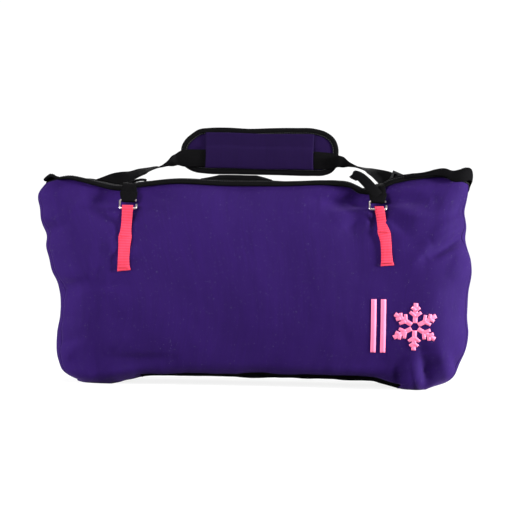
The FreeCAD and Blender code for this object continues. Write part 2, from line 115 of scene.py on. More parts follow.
def lengths(line):
    """How far along a line each of its points is."""
    return np.concatenate([[0], np.cumsum(np.linalg.norm(np.diff(line, axis=0), axis=1))])


def stepped(corners, steps):
    """A line in equal steps from each corner to the next."""
    corners = np.array(corners, float)
    return np.vstack([np.linspace(a, b, steps) for a, b in zip(corners, corners[1:])])


def around(middle, first, second, radius, degrees):
    """Places round a middle, from its first direction towards the second."""
    return [middle + first * radius * math.cos(a) + second * radius * math.sin(a)
            for a in map(math.radians, degrees)]


def directions(line, closed=False):
    """The direction of a line at each of its points."""
    if closed:
        return unit(np.roll(line, -1, axis=0) - np.roll(line, 1, axis=0))
    return unit(np.gradient(line, axis=0))


# ------------------------------------------------------------------ meshes
def mesh_object(name, vertices, faces, material, body=None, uv=None):
    """A smooth-shaded object that rides on a body, from vertices in millimetres."""
    mesh = bpy.data.meshes.new(name)
    mesh.from_pydata([tuple(v) for v in np.asarray(vertices) * MM], [], faces)
    if uv is not None:
        layer = mesh.uv_layers.new(name="cloth")
        corners = np.array([uv[corner] for face in faces for corner in face], float) * MM
        layer.data.foreach_set("uv", corners.ravel())
    mesh.validate()
    mesh.polygons.foreach_set("use_smooth", [True] * len(mesh.polygons))
    mesh.materials.append(material)
    piece = bpy.data.objects.new(name, mesh)
    bpy.context.scene.collection.objects.link(piece)
    if body:
        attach(piece, body)
    return piece


def settle(piece):
    """Make a piece's modifiers part of its mesh."""
    graph = bpy.context.evaluated_depsgraph_get()
    mesh = bpy.data.meshes.new_from_object(piece.evaluated_get(graph))
    piece.modifiers.clear()
    piece.data = mesh


def thicken(piece, thick, offset):
    """Give a sheet its thickness: inwards (-1), both ways (0) or outwards (1)."""
    skin = piece.modifiers.new("skin", "SOLIDIFY")
    skin.thickness = thick * MM
    skin.offset = offset
    settle(piece)


def grid_faces(rows, columns, turned=False):
    """Faces over a grid of vertices stored row by row."""
    faces = []
    for row in range(rows - 1):
        for k in range(row * columns, (row + 1) * columns - 1):
            face = (k, k + columns, k + columns + 1, k + 1)
            faces.append((face[0],) + face[:0:-1] if turned else face)
    return faces


def tube_faces(rings, count, ends="capped"):
    """Faces between rings of count vertices, with the ends capped, open or joined."""
    faces = []
    for ring in range(rings if ends == "joined" else rings - 1):
        following = (ring + 1) % rings
        for k in range(count):
            turn = (k + 1) % count
            faces.append((ring * count + k, ring * count + turn,
                          following * count + turn, following * count + k))
    if ends == "capped":
        faces.append(tuple(reversed(range(count))))
        faces.append(tuple((rings - 1) * count + k for k in range(count)))
    return faces


def shifted(faces, first):
    """Faces over vertices that start at number first."""
    return [tuple(first + corner for corner in face) for face in faces]


def rounded_section(width, thick):
    """A flat strap's section, (across, out) pairs, with half-round edges."""
    half, radius, round_steps = width / 2 - thick / 2, thick / 2, 3
    section = []
    for side in (1, -1):
        for step in range(round_steps + 1):
            angle = math.pi * (step / round_steps - 0.5)
            section.append((side * (half + radius * math.cos(angle)),
                            side * radius * math.sin(angle)))
        section.append((side * half / 3, side * radius))
        section.append((-side * half / 3, side * radius))
    return section


def fold_section(drop, thick, gap):
    """A tape folded in half over an edge: two legs of length drop and the fold above."""
    outer, inner = gap / 2 + thick, gap / 2
    arc = [math.pi * k / 6 for k in range(7)]
    section = [(outer * math.cos(a), outer * math.sin(a)) for a in arc]
    section += [(-outer, -drop), (-inner, -drop)]
    section += [(inner * math.cos(a), inner * math.sin(a)) for a in reversed(arc)]
    section += [(inner, -drop), (outer, -drop)]
    return section


def sweep(name, line, across, section, material, body, closed=False):
    """A section carried along a line.  Its first axis follows across, its second the
    direction square to both."""
    line = np.asarray(line, float)
    ahead = directions(line, closed)
    across = np.broadcast_to(np.asarray(across, float), line.shape)
    out = unit(np.cross(ahead, across))
    across = unit(np.cross(out, ahead))
    section = np.array(section, float)
    rings = (line[:, None, :] + section[None, :, :1] * across[:, None, :]
             + section[None, :, 1:] * out[:, None, :])
    vertices = rings.reshape(-1, 3)
    reach = lengths(line)
    girth = np.linalg.norm(np.roll(section, -1, axis=0) - section, axis=1)
    round_uv = np.concatenate([[0], np.cumsum(girth)])[:-1]
    uv = [(along, width) for along in reach for width in round_uv]
    faces = tube_faces(len(line), len(section), "joined" if closed else "capped")
    piece = mesh_object(name, vertices, faces, material, body, uv)
    tidy_normals(piece)
    return piece


def tidy_normals(piece):
    """Turn every face outwards."""
    shape = bmesh.new()
    shape.from_mesh(piece.data)
    bmesh.ops.recalc_face_normals(shape, faces=shape.faces)
    shape.to_mesh(piece.data)
    shape.free()


def ribbon(name, points, across, width, thick, material, body, spacing=2.5):
    """Webbing: a flat strap along a smooth line.  Across is one direction, or one for
    each point."""
    points = np.array(points, float)
    across = np.broadcast_to(np.asarray(across, float), points.shape)
    both = smooth_line(np.hstack([points, across]), spacing)
    return sweep(name, both[:, :3], unit(both[:, 3:]), rounded_section(width, thick),
                 material, body)


def stitches(name, line, out, thread, body, pitch=3.4, long=2.3, radius=0.32,
             closed=False):
    """A run of stitches, each a small thread lying on the cloth."""
    line = np.asarray(line, float)
    if closed:
        line = np.vstack([line, line[:1]])
    out = np.broadcast_to(out, line.shape) if np.ndim(out) == 1 else np.asarray(out)
    if closed and len(out) < len(line):
        out = np.vstack([out, out[:1]])
    reach = lengths(line)
    vertices, faces = [], []
    sides = 6
    shape = [(-0.5, 0.45), (-0.25, 1.0), (0.25, 1.0), (0.5, 0.45)]
    for middle in np.arange(pitch / 2, reach[-1], pitch):
        centre = np.array([np.interp(middle, reach, line[:, k]) for k in range(3)])
        ahead = np.array([np.interp(middle + 0.5, reach, line[:, k]) for k in range(3)]) - centre
        up = np.array([np.interp(middle, reach, out[:, k]) for k in range(3)])
        ahead, up = unit(ahead), unit(up)
        side = unit(np.cross(up, ahead))
        first = len(vertices)
        for along, swell in shape:
            for k in range(sides):
                angle = 2 * math.pi * k / sides
                vertices.append(centre + ahead * along * long
                                + side * radius * swell * math.cos(angle)
                                + up * radius * swell * math.sin(angle))
        faces += shifted(tube_faces(len(shape), sides), first)
    mesh_object(name, vertices, faces, thread, body)


# ------------------------------------------------------------------ materials
class Nodes:
    """A material's node tree, with short calls to add to it."""

    def __init__(self, name):
        self.material = bpy.data.materials.new(name)
        self.material.use_nodes = True
        self.tree = self.material.node_tree
        self.shader = self.tree.nodes["Principled BSDF"]

    def add(self, kind, inputs=None, **settings):
        node = self.tree.nodes.new(kind)
        for key, value in settings.items():
            setattr(node, key, value)
        for key, value in (inputs or {}).items():
            self.feed(node.inputs[key], value)
        return node

    def feed(self, socket, value):
        if isinstance(value, bpy.types.NodeSocket):
            self.tree.links.new(value, socket)
        else:
            socket.default_value = value

    def maths(self, operation, first, second=0.0, third=0.0):
        node = self.add("ShaderNodeMath", {0: first, 1: second, 2: third}, operation=operation)
        return node.outputs[0]

    def mix(self, share, first, second):
        node = self.add("ShaderNodeMix", data_type="RGBA")
        self.feed(node.inputs[0], share)
        self.feed(node.inputs[6], first)
        self.feed(node.inputs[7], second)
        return node.outputs[2]

    def weighed(self, first, share, second, other):
        """The first value times share plus the second times other."""
        return self.maths("ADD", self.maths("MULTIPLY", first, share),
                          self.maths("MULTIPLY", second, other))

    def waves(self, place, pitch):
        """A sine along a place, its waves pitch millimetres long."""
        return self.maths("SINE", self.maths("MULTIPLY", place, 2 * math.pi / (pitch * MM)))

    def cloth(self):
        """The piece's cloth map, whole and along its two directions."""
        cloth = self.add("ShaderNodeUVMap", uv_map="cloth").outputs[0]
        parts = self.add("ShaderNodeSeparateXYZ", {0: cloth})
        return cloth, parts.outputs[0], parts.outputs[1]

    def place(self):
        return self.add("ShaderNodeTexCoord").outputs["Object"]

    def noise(self, place, scale, detail, roughness=0.5):
        inputs = {"Vector": place, "Scale": scale, "Detail": detail, "Roughness": roughness}
        return self.add("ShaderNodeTexNoise", inputs).outputs[0]

    def bump(self, height, strength, distance):
        """Relief of the given depth in millimetres."""
        inputs = {"Height": height, "Strength": strength, "Distance": distance * MM}
        return self.add("ShaderNodeBump", inputs).outputs[0]

    def shade(self, **values):
        names = {"colour": "Base Color", "roughness": "Roughness", "metallic": "Metallic",
                 "sheen": "Sheen Weight", "sheen_roughness": "Sheen Roughness",
                 "sheen_tint": "Sheen Tint", "normal": "Normal", "specular": "Specular IOR Level"}
        for key, value in values.items():
            self.feed(self.shader.inputs[names[key]], value)
        return self.material


def tone(colour, share):
    """A colour made lighter or darker."""
    return tuple(min(1.0, part * share) for part in colour[:3]) + (1.0,)


def cloth_material(name, colour, sheen, pitch=0.9, sheen_tint=(1, 1, 1, 1), dust=0.0,
                   specular=0.06):
    """Plain-woven cloth: thread relief, slow colour variation, fine slubs and a soft sheen."""
    nodes = Nodes(name)
    cloth, along, over = nodes.cloth()
    height = nodes.maths("MULTIPLY", nodes.waves(along, pitch), nodes.waves(over, pitch))
    place = nodes.place()
    broad = nodes.noise(place, 9.0, 4.0)
    slub = nodes.add("ShaderNodeMapping", {0: cloth, "Scale": (260.0, 26.0, 1.0)})
    fine = nodes.noise(slub.outputs[0], 3.0, 3.0)
    streak = nodes.add("ShaderNodeMapping", {0: cloth, "Scale": (330.0, 14.0, 1.0)})
    streaks = nodes.noise(streak.outputs[0], 1.0, 2.0, 0.6)
    thread = nodes.maths("MULTIPLY_ADD", height, 0.06, nodes.weighed(broad, 0.5, streaks, 0.5))
    shown = nodes.mix(thread, tone(colour, 0.648), tone(colour, 1.352))
    if dust:
        mask = nodes.maths("GREATER_THAN", nodes.noise(place, 900.0, 2.0), 0.74)
        shown = nodes.mix(nodes.maths("MULTIPLY", mask, dust), shown, (0.6, 0.58, 0.62, 1.0))
    relief = nodes.bump(nodes.weighed(height, 0.5, fine, 0.8), 0.48, 0.2)
    rough = nodes.maths("MULTIPLY_ADD", fine, 0.16, 0.74)
    return nodes.shade(colour=shown, roughness=rough, sheen=sheen, sheen_roughness=0.45,
                       sheen_tint=sheen_tint, normal=relief, specular=specular)


def webbing_material(name, colour, rib, sheen, bars=0.0):
    """Woven webbing: ribs along its length, a fine herringbone and, if asked, bars across."""
    nodes = Nodes(name)
    _, along, over = nodes.cloth()
    ribs = nodes.waves(over, rib)
    slant = nodes.weighed(along, 2 * math.pi / (1.3 * MM), ribs, 1.2)
    height = nodes.weighed(ribs, 0.6, nodes.maths("SINE", slant), 0.4)
    wear = nodes.noise(nodes.place(), 60.0, 5.0)
    share = nodes.maths("MULTIPLY_ADD", height, 0.12, nodes.maths("MULTIPLY", wear, 0.9))
    share = nodes.maths("MULTIPLY_ADD", nodes.waves(along, 3.8), bars, share)
    shown = nodes.mix(share, tone(colour, 0.70), tone(colour, 1.25))
    return nodes.shade(colour=shown, roughness=0.75, sheen=sheen, sheen_roughness=0.4,
                       normal=nodes.bump(height, 0.5, 0.25), specular=0.045)


def mesh_material(name, colour):
    """Spacer mesh: small round holes in rows."""
    nodes = Nodes(name)
    cells = nodes.add("ShaderNodeTexVoronoi", {"Vector": nodes.cloth()[0], "Scale": 380.0,
                                               "Randomness": 0.12})
    hole = nodes.maths("LESS_THAN", cells.outputs["Distance"], 0.33)
    shown = nodes.mix(hole, tone(colour, 1.4), tone(colour, 0.25))
    return nodes.shade(colour=shown, roughness=0.85, sheen=0.15,
                       normal=nodes.bump(cells.outputs["Distance"], 0.6, 0.8))


def wire_material(name, colour):
    """Plated steel wire, drawn and lightly scuffed."""
    nodes = Nodes(name)
    place = nodes.place()
    scuff = nodes.noise(place, 900.0, 6.0)
    shown = nodes.mix(nodes.noise(place, 130.0, 3.0), tone(colour, 0.72), tone(colour, 1.15))
    rough = nodes.maths("MULTIPLY_ADD", scuff, 0.3, 0.14)
    return nodes.shade(colour=shown, roughness=rough, metallic=1.0,
                       normal=nodes.bump(scuff, 0.25, 0.1))


def plastic_material(name, colour, roughness=0.42):
    """Moulded plastic or thread with a fine grain."""
    nodes = Nodes(name)
    place = nodes.place()
    slow = nodes.noise(place, 25.0, 3.0)
    shown = nodes.mix(slow, tone(colour, 0.8), tone(colour, 1.3))
    rough = nodes.maths("MULTIPLY_ADD", slow, 0.18, roughness - 0.08)
    return nodes.shade(colour=shown, roughness=rough,
                       normal=nodes.bump(nodes.noise(place, 700.0, 4.0), 0.2, 0.2))


def print_material(name, colour):
    """Screen-printed ink with a fine grain."""
    nodes = Nodes(name)
    place = nodes.place()
    shown = nodes.mix(nodes.noise(place, 40.0, 4.0), tone(colour, 0.92), tone(colour, 1.06))
    return nodes.shade(colour=shown, roughness=0.6, specular=0.3,
                       normal=nodes.bump(nodes.noise(place, 1300.0, 2.0), 0.3, 0.15))


PURPLE = (0.0137, 0.0026, 0.0600)
PAD_PURPLE = (0.0064, 0.0014, 0.0235)
BLACK = (0.0017, 0.0016, 0.0020)
PINK = (0.58, 0.040, 0.078)
M = {
    "purple": cloth_material("purple_cloth", PURPLE, sheen=0.10, sheen_tint=(0.5, 0.3, 1, 1),
                             dust=0.25, specular=0.08),
    "black": cloth_material("black_cloth", BLACK, pitch=1.1, sheen=0.0, specular=0.03),
    "pad": cloth_material("pad_cloth", PAD_PURPLE, sheen=0.06, sheen_tint=(0.5, 0.3, 1, 1)),
    "tape": webbing_material("binding_tape", BLACK, rib=1.4, sheen=0.0),
    "webbing": webbing_material("black_webbing", tone(BLACK, 0.85)[:3], rib=2.2, sheen=0.0),
    "pink": webbing_material("pink_webbing", PINK, rib=2.0, sheen=0.05, bars=0.34),
    "pink_thread": plastic_material("pink_thread", (0.40, 0.006, 0.026), 0.7),
    "black_thread": plastic_material("black_thread", (0.012, 0.012, 0.014), 0.6),
    "purple_thread": plastic_material("purple_thread", tone(PURPLE, 1.5)[:3], 0.6),
    "mesh": mesh_material("pad_spacer_mesh", BLACK),
    "board": plastic_material("stiffener_sheet", (0.02, 0.02, 0.022), 0.5),
    "wire": wire_material("plated_wire", (0.70, 0.62, 0.58)),
    "plastic": plastic_material("moulded_black", (0.004, 0.004, 0.0045)),
    "ink": print_material("pink_ink", (0.80, 0.16, 0.30)),
}


# ------------------------------------------------------------------ bag shell
# How far the ends reach at each height, and the heights of the bottom and the mouth
# along the length: (place, value) pairs in millimetres.
LEFT_REACH = [(0, 258), (12, 265), (24, 269), (36, 272.5), (50, 273.5), (78, 271), (100, 267.5),
              (124, 269.5), (140, 274), (152, 280.5), (170, 285), (188, 290), (200, 289),
              (214, 295), (240, 297), (258, 300), (272, 292), (290, 287)]
RIGHT_REACH = [(0, 270), (12, 276), (22, 281), (32, 285), (56, 294.5), (76, 297.5),
               (104, 294.5), (136, 294.8), (164, 299), (180, 297.3), (206, 290.3), (224, 289.8),
               (244, 287), (262, 291.5), (276, 294.5), (296, 293.5)]
BOTTOM_EDGE = [(-303, 5), (-256, 3), (-244, 0.5), (-230, 0), (-212, 0), (-201, 1.6), (-190, 3.3),
               (-179, 6.2), (-168, 8.2), (-158, 10.8), (-147, 12.6), (-120, 13.6), (0, 14),
               (120, 14), (157, 13.4), (170, 12.8), (179, 10.4), (190, 7.6), (200, 4.8),
               (211, 2.4), (222, 1.0), (233, 0), (246, 0.5), (256, 4), (303, 8)]
MOUTH_EDGE = [(-303, 266), (-294, 271), (-280, 276), (-268, 279), (-255, 279), (-222, 272),
              (-188, 265.5), (-162, 270.5), (-121, 276), (-41, 275), (23, 276), (111, 278),
              (132, 275), (150, 267), (164, 270.5), (171, 275), (180, 279.5), (198, 285.2),
              (210, 287.8), (221, 289.8), (232, 291.8), (243, 293), (256, 293), (272, 290.5),
              (290, 288.5), (303, 286.5)]
BOTTOM_ROUND = 17.0
LOWEST = 0.4  # the shell's least height over the floor
CLOTH, TAPE = 1.1, 0.9  # thicknesses
HINGE_RIM = 276.5
FRONT_COLUMNS, CORNER_COLUMNS, END_COLUMNS = 132, 16, 16
ROUND_ROWS, WALL_ROWS, BASE_ROWS = 6, 58, 30


def belly_depth(height):
    """Half the bag's depth at a height over a level mouth, on the CAD shell's own arc."""
    radius, middle = 269.25, 112.0
    return np.sqrt(radius ** 2 - (height - middle) ** 2) - (radius - BELLY)


def columns():
    """The loop round the bag as (side, share) pairs, counter-clockwise from above."""
    runs = [("front", FRONT_COLUMNS), ("right_front", CORNER_COLUMNS), ("right", END_COLUMNS),
            ("right_back", CORNER_COLUMNS), ("back", FRONT_COLUMNS),
            ("left_back", CORNER_COLUMNS), ("left", END_COLUMNS), ("left_front", CORNER_COLUMNS)]
    return [(side, k / count) for side, count in runs for k in range(count)]


def loop_point(side, share, left, right, depth, bend):
    """A place on a rounded rectangle, seen from above."""
    turn = {"right_front": -90, "right_back": 0, "left_back": 90, "left_front": 180}
    if side in turn:
        angle = math.radians(turn[side] + 90 * share)
        x = (right - bend) if "right" in side else -(left - bend)
        y = (depth - bend) if "back" in side else -(depth - bend)
        return x + bend * math.cos(angle), y + bend * math.sin(angle)
    if side in ("front", "back"):
        far = {"front": 1, "back": -1}[side]
        start, end = -(left - bend), right - bend
        x = start + (end - start) * (share if far > 0 else 1 - share)
        return x, -far * depth
    far = {"right": 1, "left": -1}[side]
    return far * (right if far > 0 else left), far * (depth - bend) * (2 * share - 1)


def ease(low, high, at):
    """From 0 at low to 1 at high, smoothly."""
    share = np.clip((at - low) / (high - low), 0, 1)
    return share * share * (3 - 2 * share)


def rear_sag(x):
    """How far the hinge side of the mouth sags where the front does."""
    return 0.6 * max(0.0, HINGE_RIM - 1.5 - float(through(MOUTH_EDGE, x)))


def mouth_height(x, y):
    """Height of the panels' top edge: it waves in front and sags a little behind."""
    front, rear = float(through(MOUTH_EDGE, x)) + 1.5, HINGE_RIM - rear_sag(x)
    return front + (rear - front) * float(ease(-MOUTH_HALF, MOUTH_HALF * 0.6, y))


def wall_point(side, share, row):
    """A place on the bag's wall: the first rows turn up from the base."""
    x, mouth_y = loop_point(side, share, 290, 298, MOUTH_HALF, 26)
    foot = belly_depth(8.0) - 5.0
    base_x, _ = loop_point(side, share, float(through(LEFT_REACH, 8)),
                           float(through(RIGHT_REACH, 8)), foot, 0.7 * foot)
    low, high = through(BOTTOM_EDGE, base_x), mouth_height(x, mouth_y)
    if row < ROUND_ROWS:
        angle = math.pi / 2 * row / ROUND_ROWS
        z = low + BOTTOM_ROUND * (1 - math.cos(angle))
        inset = BOTTOM_ROUND * (1 - math.sin(angle))
    else:
        climb = (row - ROUND_ROWS) / WALL_ROWS
        z = low + BOTTOM_ROUND + (high - low - BOTTOM_ROUND) * climb
        inset = 0.0
    level = (z - low) / (high - low) * MOUTH_HEIGHT
    depth = belly_depth(level) - inset
    bend = (0.70 - 0.12 * level / MOUTH_HEIGHT) * depth
    left = float(through(LEFT_REACH, z)) - inset
    right = float(through(RIGHT_REACH, z)) - inset
    x, y = loop_point(side, share, left, right, depth, bend)
    y *= 1 - 0.06 * (x / 300) ** 2
    return x, y, z


def shell_grid():
    """Vertices, faces, cloth map and panel of each face of the closed shell."""
    loop = columns()
    rows = ROUND_ROWS + WALL_ROWS + 1
    count = len(loop)
    vertices = [wall_point(side, share, row) for row in range(rows) for side, share in loop]
    faces = tube_faces(rows, count, "open")
    panels = [panel_of(loop[face[0] % count], vertices[face[0]], face[0] // count)
              for face in faces]
    # The base: lines from the front half of the bottom loop to the back half.
    start = count - CORNER_COLUMNS - END_COLUMNS // 2
    half = count // 2
    fronts = [(start + k) % count for k in range(half + 1)]
    backs = [(start - k) % count for k in range(half + 1)]
    lines = []
    for front, back in zip(fronts, backs):
        line = [front]
        if front != back:
            a, b = np.array(vertices[front]), np.array(vertices[back])
            for step in range(1, BASE_ROWS):
                place = a + (b - a) * step / BASE_ROWS
                place[2] += 2.0 * math.sin(math.pi * step / BASE_ROWS)
                line.append(len(vertices))
                vertices.append(tuple(place))
        line.append(back)
        lines.append(line)
    for k in range(half):
        one, two = lines[k], lines[k + 1]
        for step in range(BASE_ROWS):
            a = one[min(step, len(one) - 1)], one[min(step + 1, len(one) - 1)]
            b = two[min(step, len(two) - 1)], two[min(step + 1, len(two) - 1)]
            if len(one) == 2:
                a = (one[0], one[0])
            if len(two) == 2:
                b = (two[0], two[0])
            face = []
            for corner in (a[0], a[1], b[1], b[0]):
                if corner not in face:
                    face.append(corner)
            if len(face) > 2:
                faces.append(tuple(reversed(face)))
                middle = np.mean([vertices[c] for c in face], axis=0)
                panels.append(base_panel_of(middle))
    return np.array(vertices), faces, panels, rows, count


def panel_of(place, point, row):
    """Which panel a wall face belongs to."""
    side, share = place
    end = side.split("_")[0]
    if side in ("left", "right") or (share > 0.7 if side in ("right_front", "left_back")
                                     else share < 0.28 and "_" in side):
        return end + "_end_panel"
    if row < 2 and BOX["base_panel"][0][0] < point[0] < BOX["base_panel"][1][0] - 6:
        return "base_panel"
    return "front_panel" if "front" in side else "back_panel"


def base_panel_of(middle):
    """Which panel a face of the bottom belongs to."""
    if BOX["base_panel"][0][0] < middle[0] < BOX["base_panel"][1][0] - 6:
        return "base_panel"
    return "front_panel" if middle[1] < 0 else "back_panel"


# Folds in the cloth: side (-1 front, 1 back), two ends (x, z), width and depth; a
# negative depth is a valley.
FOLDS = [
    (-1, (232, 180), (298, 218), 9, -8.0),
    (-1, (238, 196), (300, 232), 10, 3.5),
    (-1, (262, 150), (300, 188), 12, 4.0),
    (-1, (286, 262), (268, 214), 12, -3.5),
    (-1, (228, 52), (240, -6), 9, -8.0),
    (-1, (213, 44), (222, -4), 8, 4.5),
    (-1, (194, 34), (204, -2), 8, -3.5),
    (-1, (252, 60), (268, 6), 11, 4.5),
    (-1, (272, 46), (292, 18), 9, -5.0),
    (-1, (-303, 202), (-262, 214), 9, -5.0),
    (-1, (-303, 226), (-270, 222), 11, 3.0),
    (-1, (-282, 120), (-232, 134), 11, -5.5),
    (-1, (-276, 96), (-240, 100), 11, 2.8),
    (-1, (-276, 52), (-236, 62), 9, -4.0),
    (-1, (-160, 236), (-120, 246), 16, -1.6),
    (-1, (-176, 266), (-178, 226), 11, -3.0),
    (-1, (-196, 262), (-232, 236), 9, -2.2),
    (-1, (-150, 266), (-112, 252), 9, -2.0),
    (-1, (166, 268), (160, 216), 12, -9.0),
    (-1, (152, 271), (92, 270), 7, 3.0),
    (-1, (168, 261), (84, 259), 10, -8.5),
    (-1, (150, 246), (98, 236), 9, 3.0),
    (-1, (150, 236), (120, 216), 9, -3.5),
    (-1, (180, 274), (232, 279), 7, 2.6),
    (-1, (240, 264), (166, 261), 10, -8.0),
    (-1, (184, 246), (232, 236), 9, 2.6),
    (-1, (180, 238), (206, 214), 9, -3.5),
    (-1, (-214, 112), (-206, 206), 5, -1.1),
    (-1, (-199, 124), (-194, 212), 5, 1.0),
    (-1, (-226, 130), (-222, 190), 6, 0.9),
    (-1, (-128, 26), (-212, 14), 7, 2.4),
    (-1, (-110, 38), (-190, 36), 9, -3.0),
    (-1, (-250, 40), (-214, 8), 12, -3.4),
    (-1, (-60, 20), (90, 16), 9, -1.8),
    (-1, (110, 22), (186, 26), 8, 1.5),
    (1, (-240, 190), (-298, 220), 10, -6.0),
    (1, (-225, 60), (-250, 6), 11, -6.0),
    (1, (-206, 40), (-212, 2), 9, 3.5),
    (1, (226, 120), (292, 150), 11, -5.5),
    (1, (240, 50), (268, 10), 11, -4.5),
    (1, (-60, 250), (40, 236), 15, -2.5),
    (1, (-244, 224), (-250, 170), 10, -3.0),
    (1, (251, 224), (244, 168), 10, -3.0),
    (1, (-120, 80), (-60, 40), 18, 2.5),
    (1, (60, 64), (160, 26), 14, -3.5),
    (1, (-20, 150), (90, 120), 20, 2.2),
]


def slackness(points):
    """How far the loose cloth stands in or out before it settles."""
    push = np.zeros(len(points))
    for scale, depth in (((95, 95, 95), 3.2), ((40, 40, 52), 1.8), ((13, 20, 24), 0.5)):
        push += depth * np.array([noise.noise(Vector(p / scale)) for p in points])
    return push


def rumples():
    """Short shallow creases scattered over the ends, where the cloth is loosest."""
    chance = np.random.default_rng(11)
    made = []
    for side in (-1, 1):
        for far in (-1, 1):
            for _ in range(13):
                x = far * chance.uniform(185, 285)
                z = chance.choice([chance.uniform(14, 90), chance.uniform(120, 255)])
                angle, long = chance.uniform(0.1, 1.2) * far, chance.uniform(22, 60)
                end = (x + long * math.cos(angle), z + far * long * math.sin(angle) * 0.8)
                made.append((side, (x, z), end, chance.uniform(5, 9),
                             chance.choice([-1, 1]) * chance.uniform(1.0, 2.4)))
    return made


def creases(points, normals):
    """The depth of the folds, sharper on one side as folded cloth is."""
    push = np.zeros(len(points))
    for side, start, end, width, depth in FOLDS + rumples():
        start, end = np.array(start, float), np.array(end, float)
        place = points[:, [0, 2]] - start
        line = end - start
        share = np.clip(place @ line / (line @ line), 0, 1)
        offset = place - share[:, None] * line
        away = np.linalg.norm(offset, axis=1)
        over = offset @ unit([-line[1], line[0]]) / np.maximum(away, 1e-6)
        spread = width * (1.025 + 0.325 * over)
        fade = 0.12 + 0.88 * np.sin(np.pi * np.clip(share, 0.04, 0.96)) ** 0.7
        facing = np.clip(side * normals[:, 1] * 1.6, 0, 1)
        push += depth * np.exp(-(away / spread) ** 2) * fade * facing
    return push


def vertex_normals(vertices, faces):
    """Outward normals of a closed mesh."""
    total = np.zeros_like(vertices)
    for face in faces:
        a, b, c = vertices[face[0]], vertices[face[1]], vertices[face[-1]]
        total[list(face)] += np.cross(b - a, c - a)
    return unit(total)


def slack_cloth(vertices, faces, held):
    """Let the cloth settle: a little too large for its frame and pushed out from inside.
    Held is each vertex's hold, from 0, free, to 1, fixed."""
    frames, farthest = 24, 8.0
    piece = mesh_object("cloth_run", vertices, faces, M["purple"])
    group = piece.vertex_groups.new(name="held")
    for index, hold in enumerate(held):
        group.add([index], float(hold), "REPLACE")
    cloth = piece.modifiers.new("cloth", "CLOTH")
    settings = cloth.settings
    settings.vertex_group_mass = "held"
    settings.quality = 6
    settings.mass = 0.25
    settings.tension_stiffness = 18
    settings.compression_stiffness = 12
    settings.shear_stiffness = 8
    settings.bending_stiffness = 0.12
    settings.shrink_min = -0.022
    settings.use_pressure = True
    settings.uniform_pressure_force = 0.7
    settings.effector_weights.gravity = 0.15
    cloth.collision_settings.use_collision = False
    cloth.point_cache.frame_start = 1
    cloth.point_cache.frame_end = frames
    scene = bpy.context.scene
    for number in range(1, frames + 1):
        scene.frame_set(number)
    graph = bpy.context.evaluated_depsgraph_get()
    moved = np.zeros(len(vertices) * 3)
    piece.evaluated_get(graph).data.vertices.foreach_get("co", moved)
    scene.frame_set(1)
    bpy.data.objects.remove(piece)
    shift = moved.reshape(-1, 3) / MM - vertices
    length = np.linalg.norm(shift, axis=1, keepdims=True)
    return vertices + shift * np.minimum(1, farthest / np.maximum(length, 1e-6))


def finer(vertices, faces, panels, uv):
    """The closed shell with every face cut in four and smoothed."""
    names = sorted(set(panels))
    mesh = bpy.data.meshes.new("coarse_shell")
    mesh.from_pydata([tuple(v) for v in vertices], [], faces)
    for _ in names:
        mesh.materials.append(None)
    mesh.polygons.foreach_set("material_index", [names.index(panel) for panel in panels])
    for name, values in uv.items():
        layer = mesh.attributes.new(name, "FLOAT_VECTOR", "POINT")
        flat = np.column_stack([values, np.zeros(len(values))])
        layer.data.foreach_set("vector", flat.ravel().astype(np.float32))
    piece = bpy.data.objects.new("coarse_shell", mesh)
    bpy.context.scene.collection.objects.link(piece)
    cut = piece.modifiers.new("cut", "SUBSURF")
    cut.levels = cut.render_levels = 1
    settle(piece)
    fine = piece.data
    places = np.zeros(len(fine.vertices) * 3)
    fine.vertices.foreach_get("co", places)
    fine_uv = {}
    for name in uv:
        values = np.zeros(len(fine.vertices) * 3, np.float32)
        fine.attributes[name].data.foreach_get("vector", values)
        fine_uv[name] = values.reshape(-1, 3)[:, :2]
    fine_faces = [tuple(face.vertices) for face in fine.polygons]
    fine_panels = [names[face.material_index] for face in fine.polygons]
    bpy.data.objects.remove(piece)
    return places.reshape(-1, 3), fine_faces, fine_panels, fine_uv


def shared(faces, panels, count):
    """Which vertices lie on a seam between two panels."""
    owner = {}
    for face, panel in zip(faces, panels):
        for corner in face:
            owner.setdefault(corner, set()).add(panel)
    return np.array([len(owner[k]) > 1 for k in range(count)])


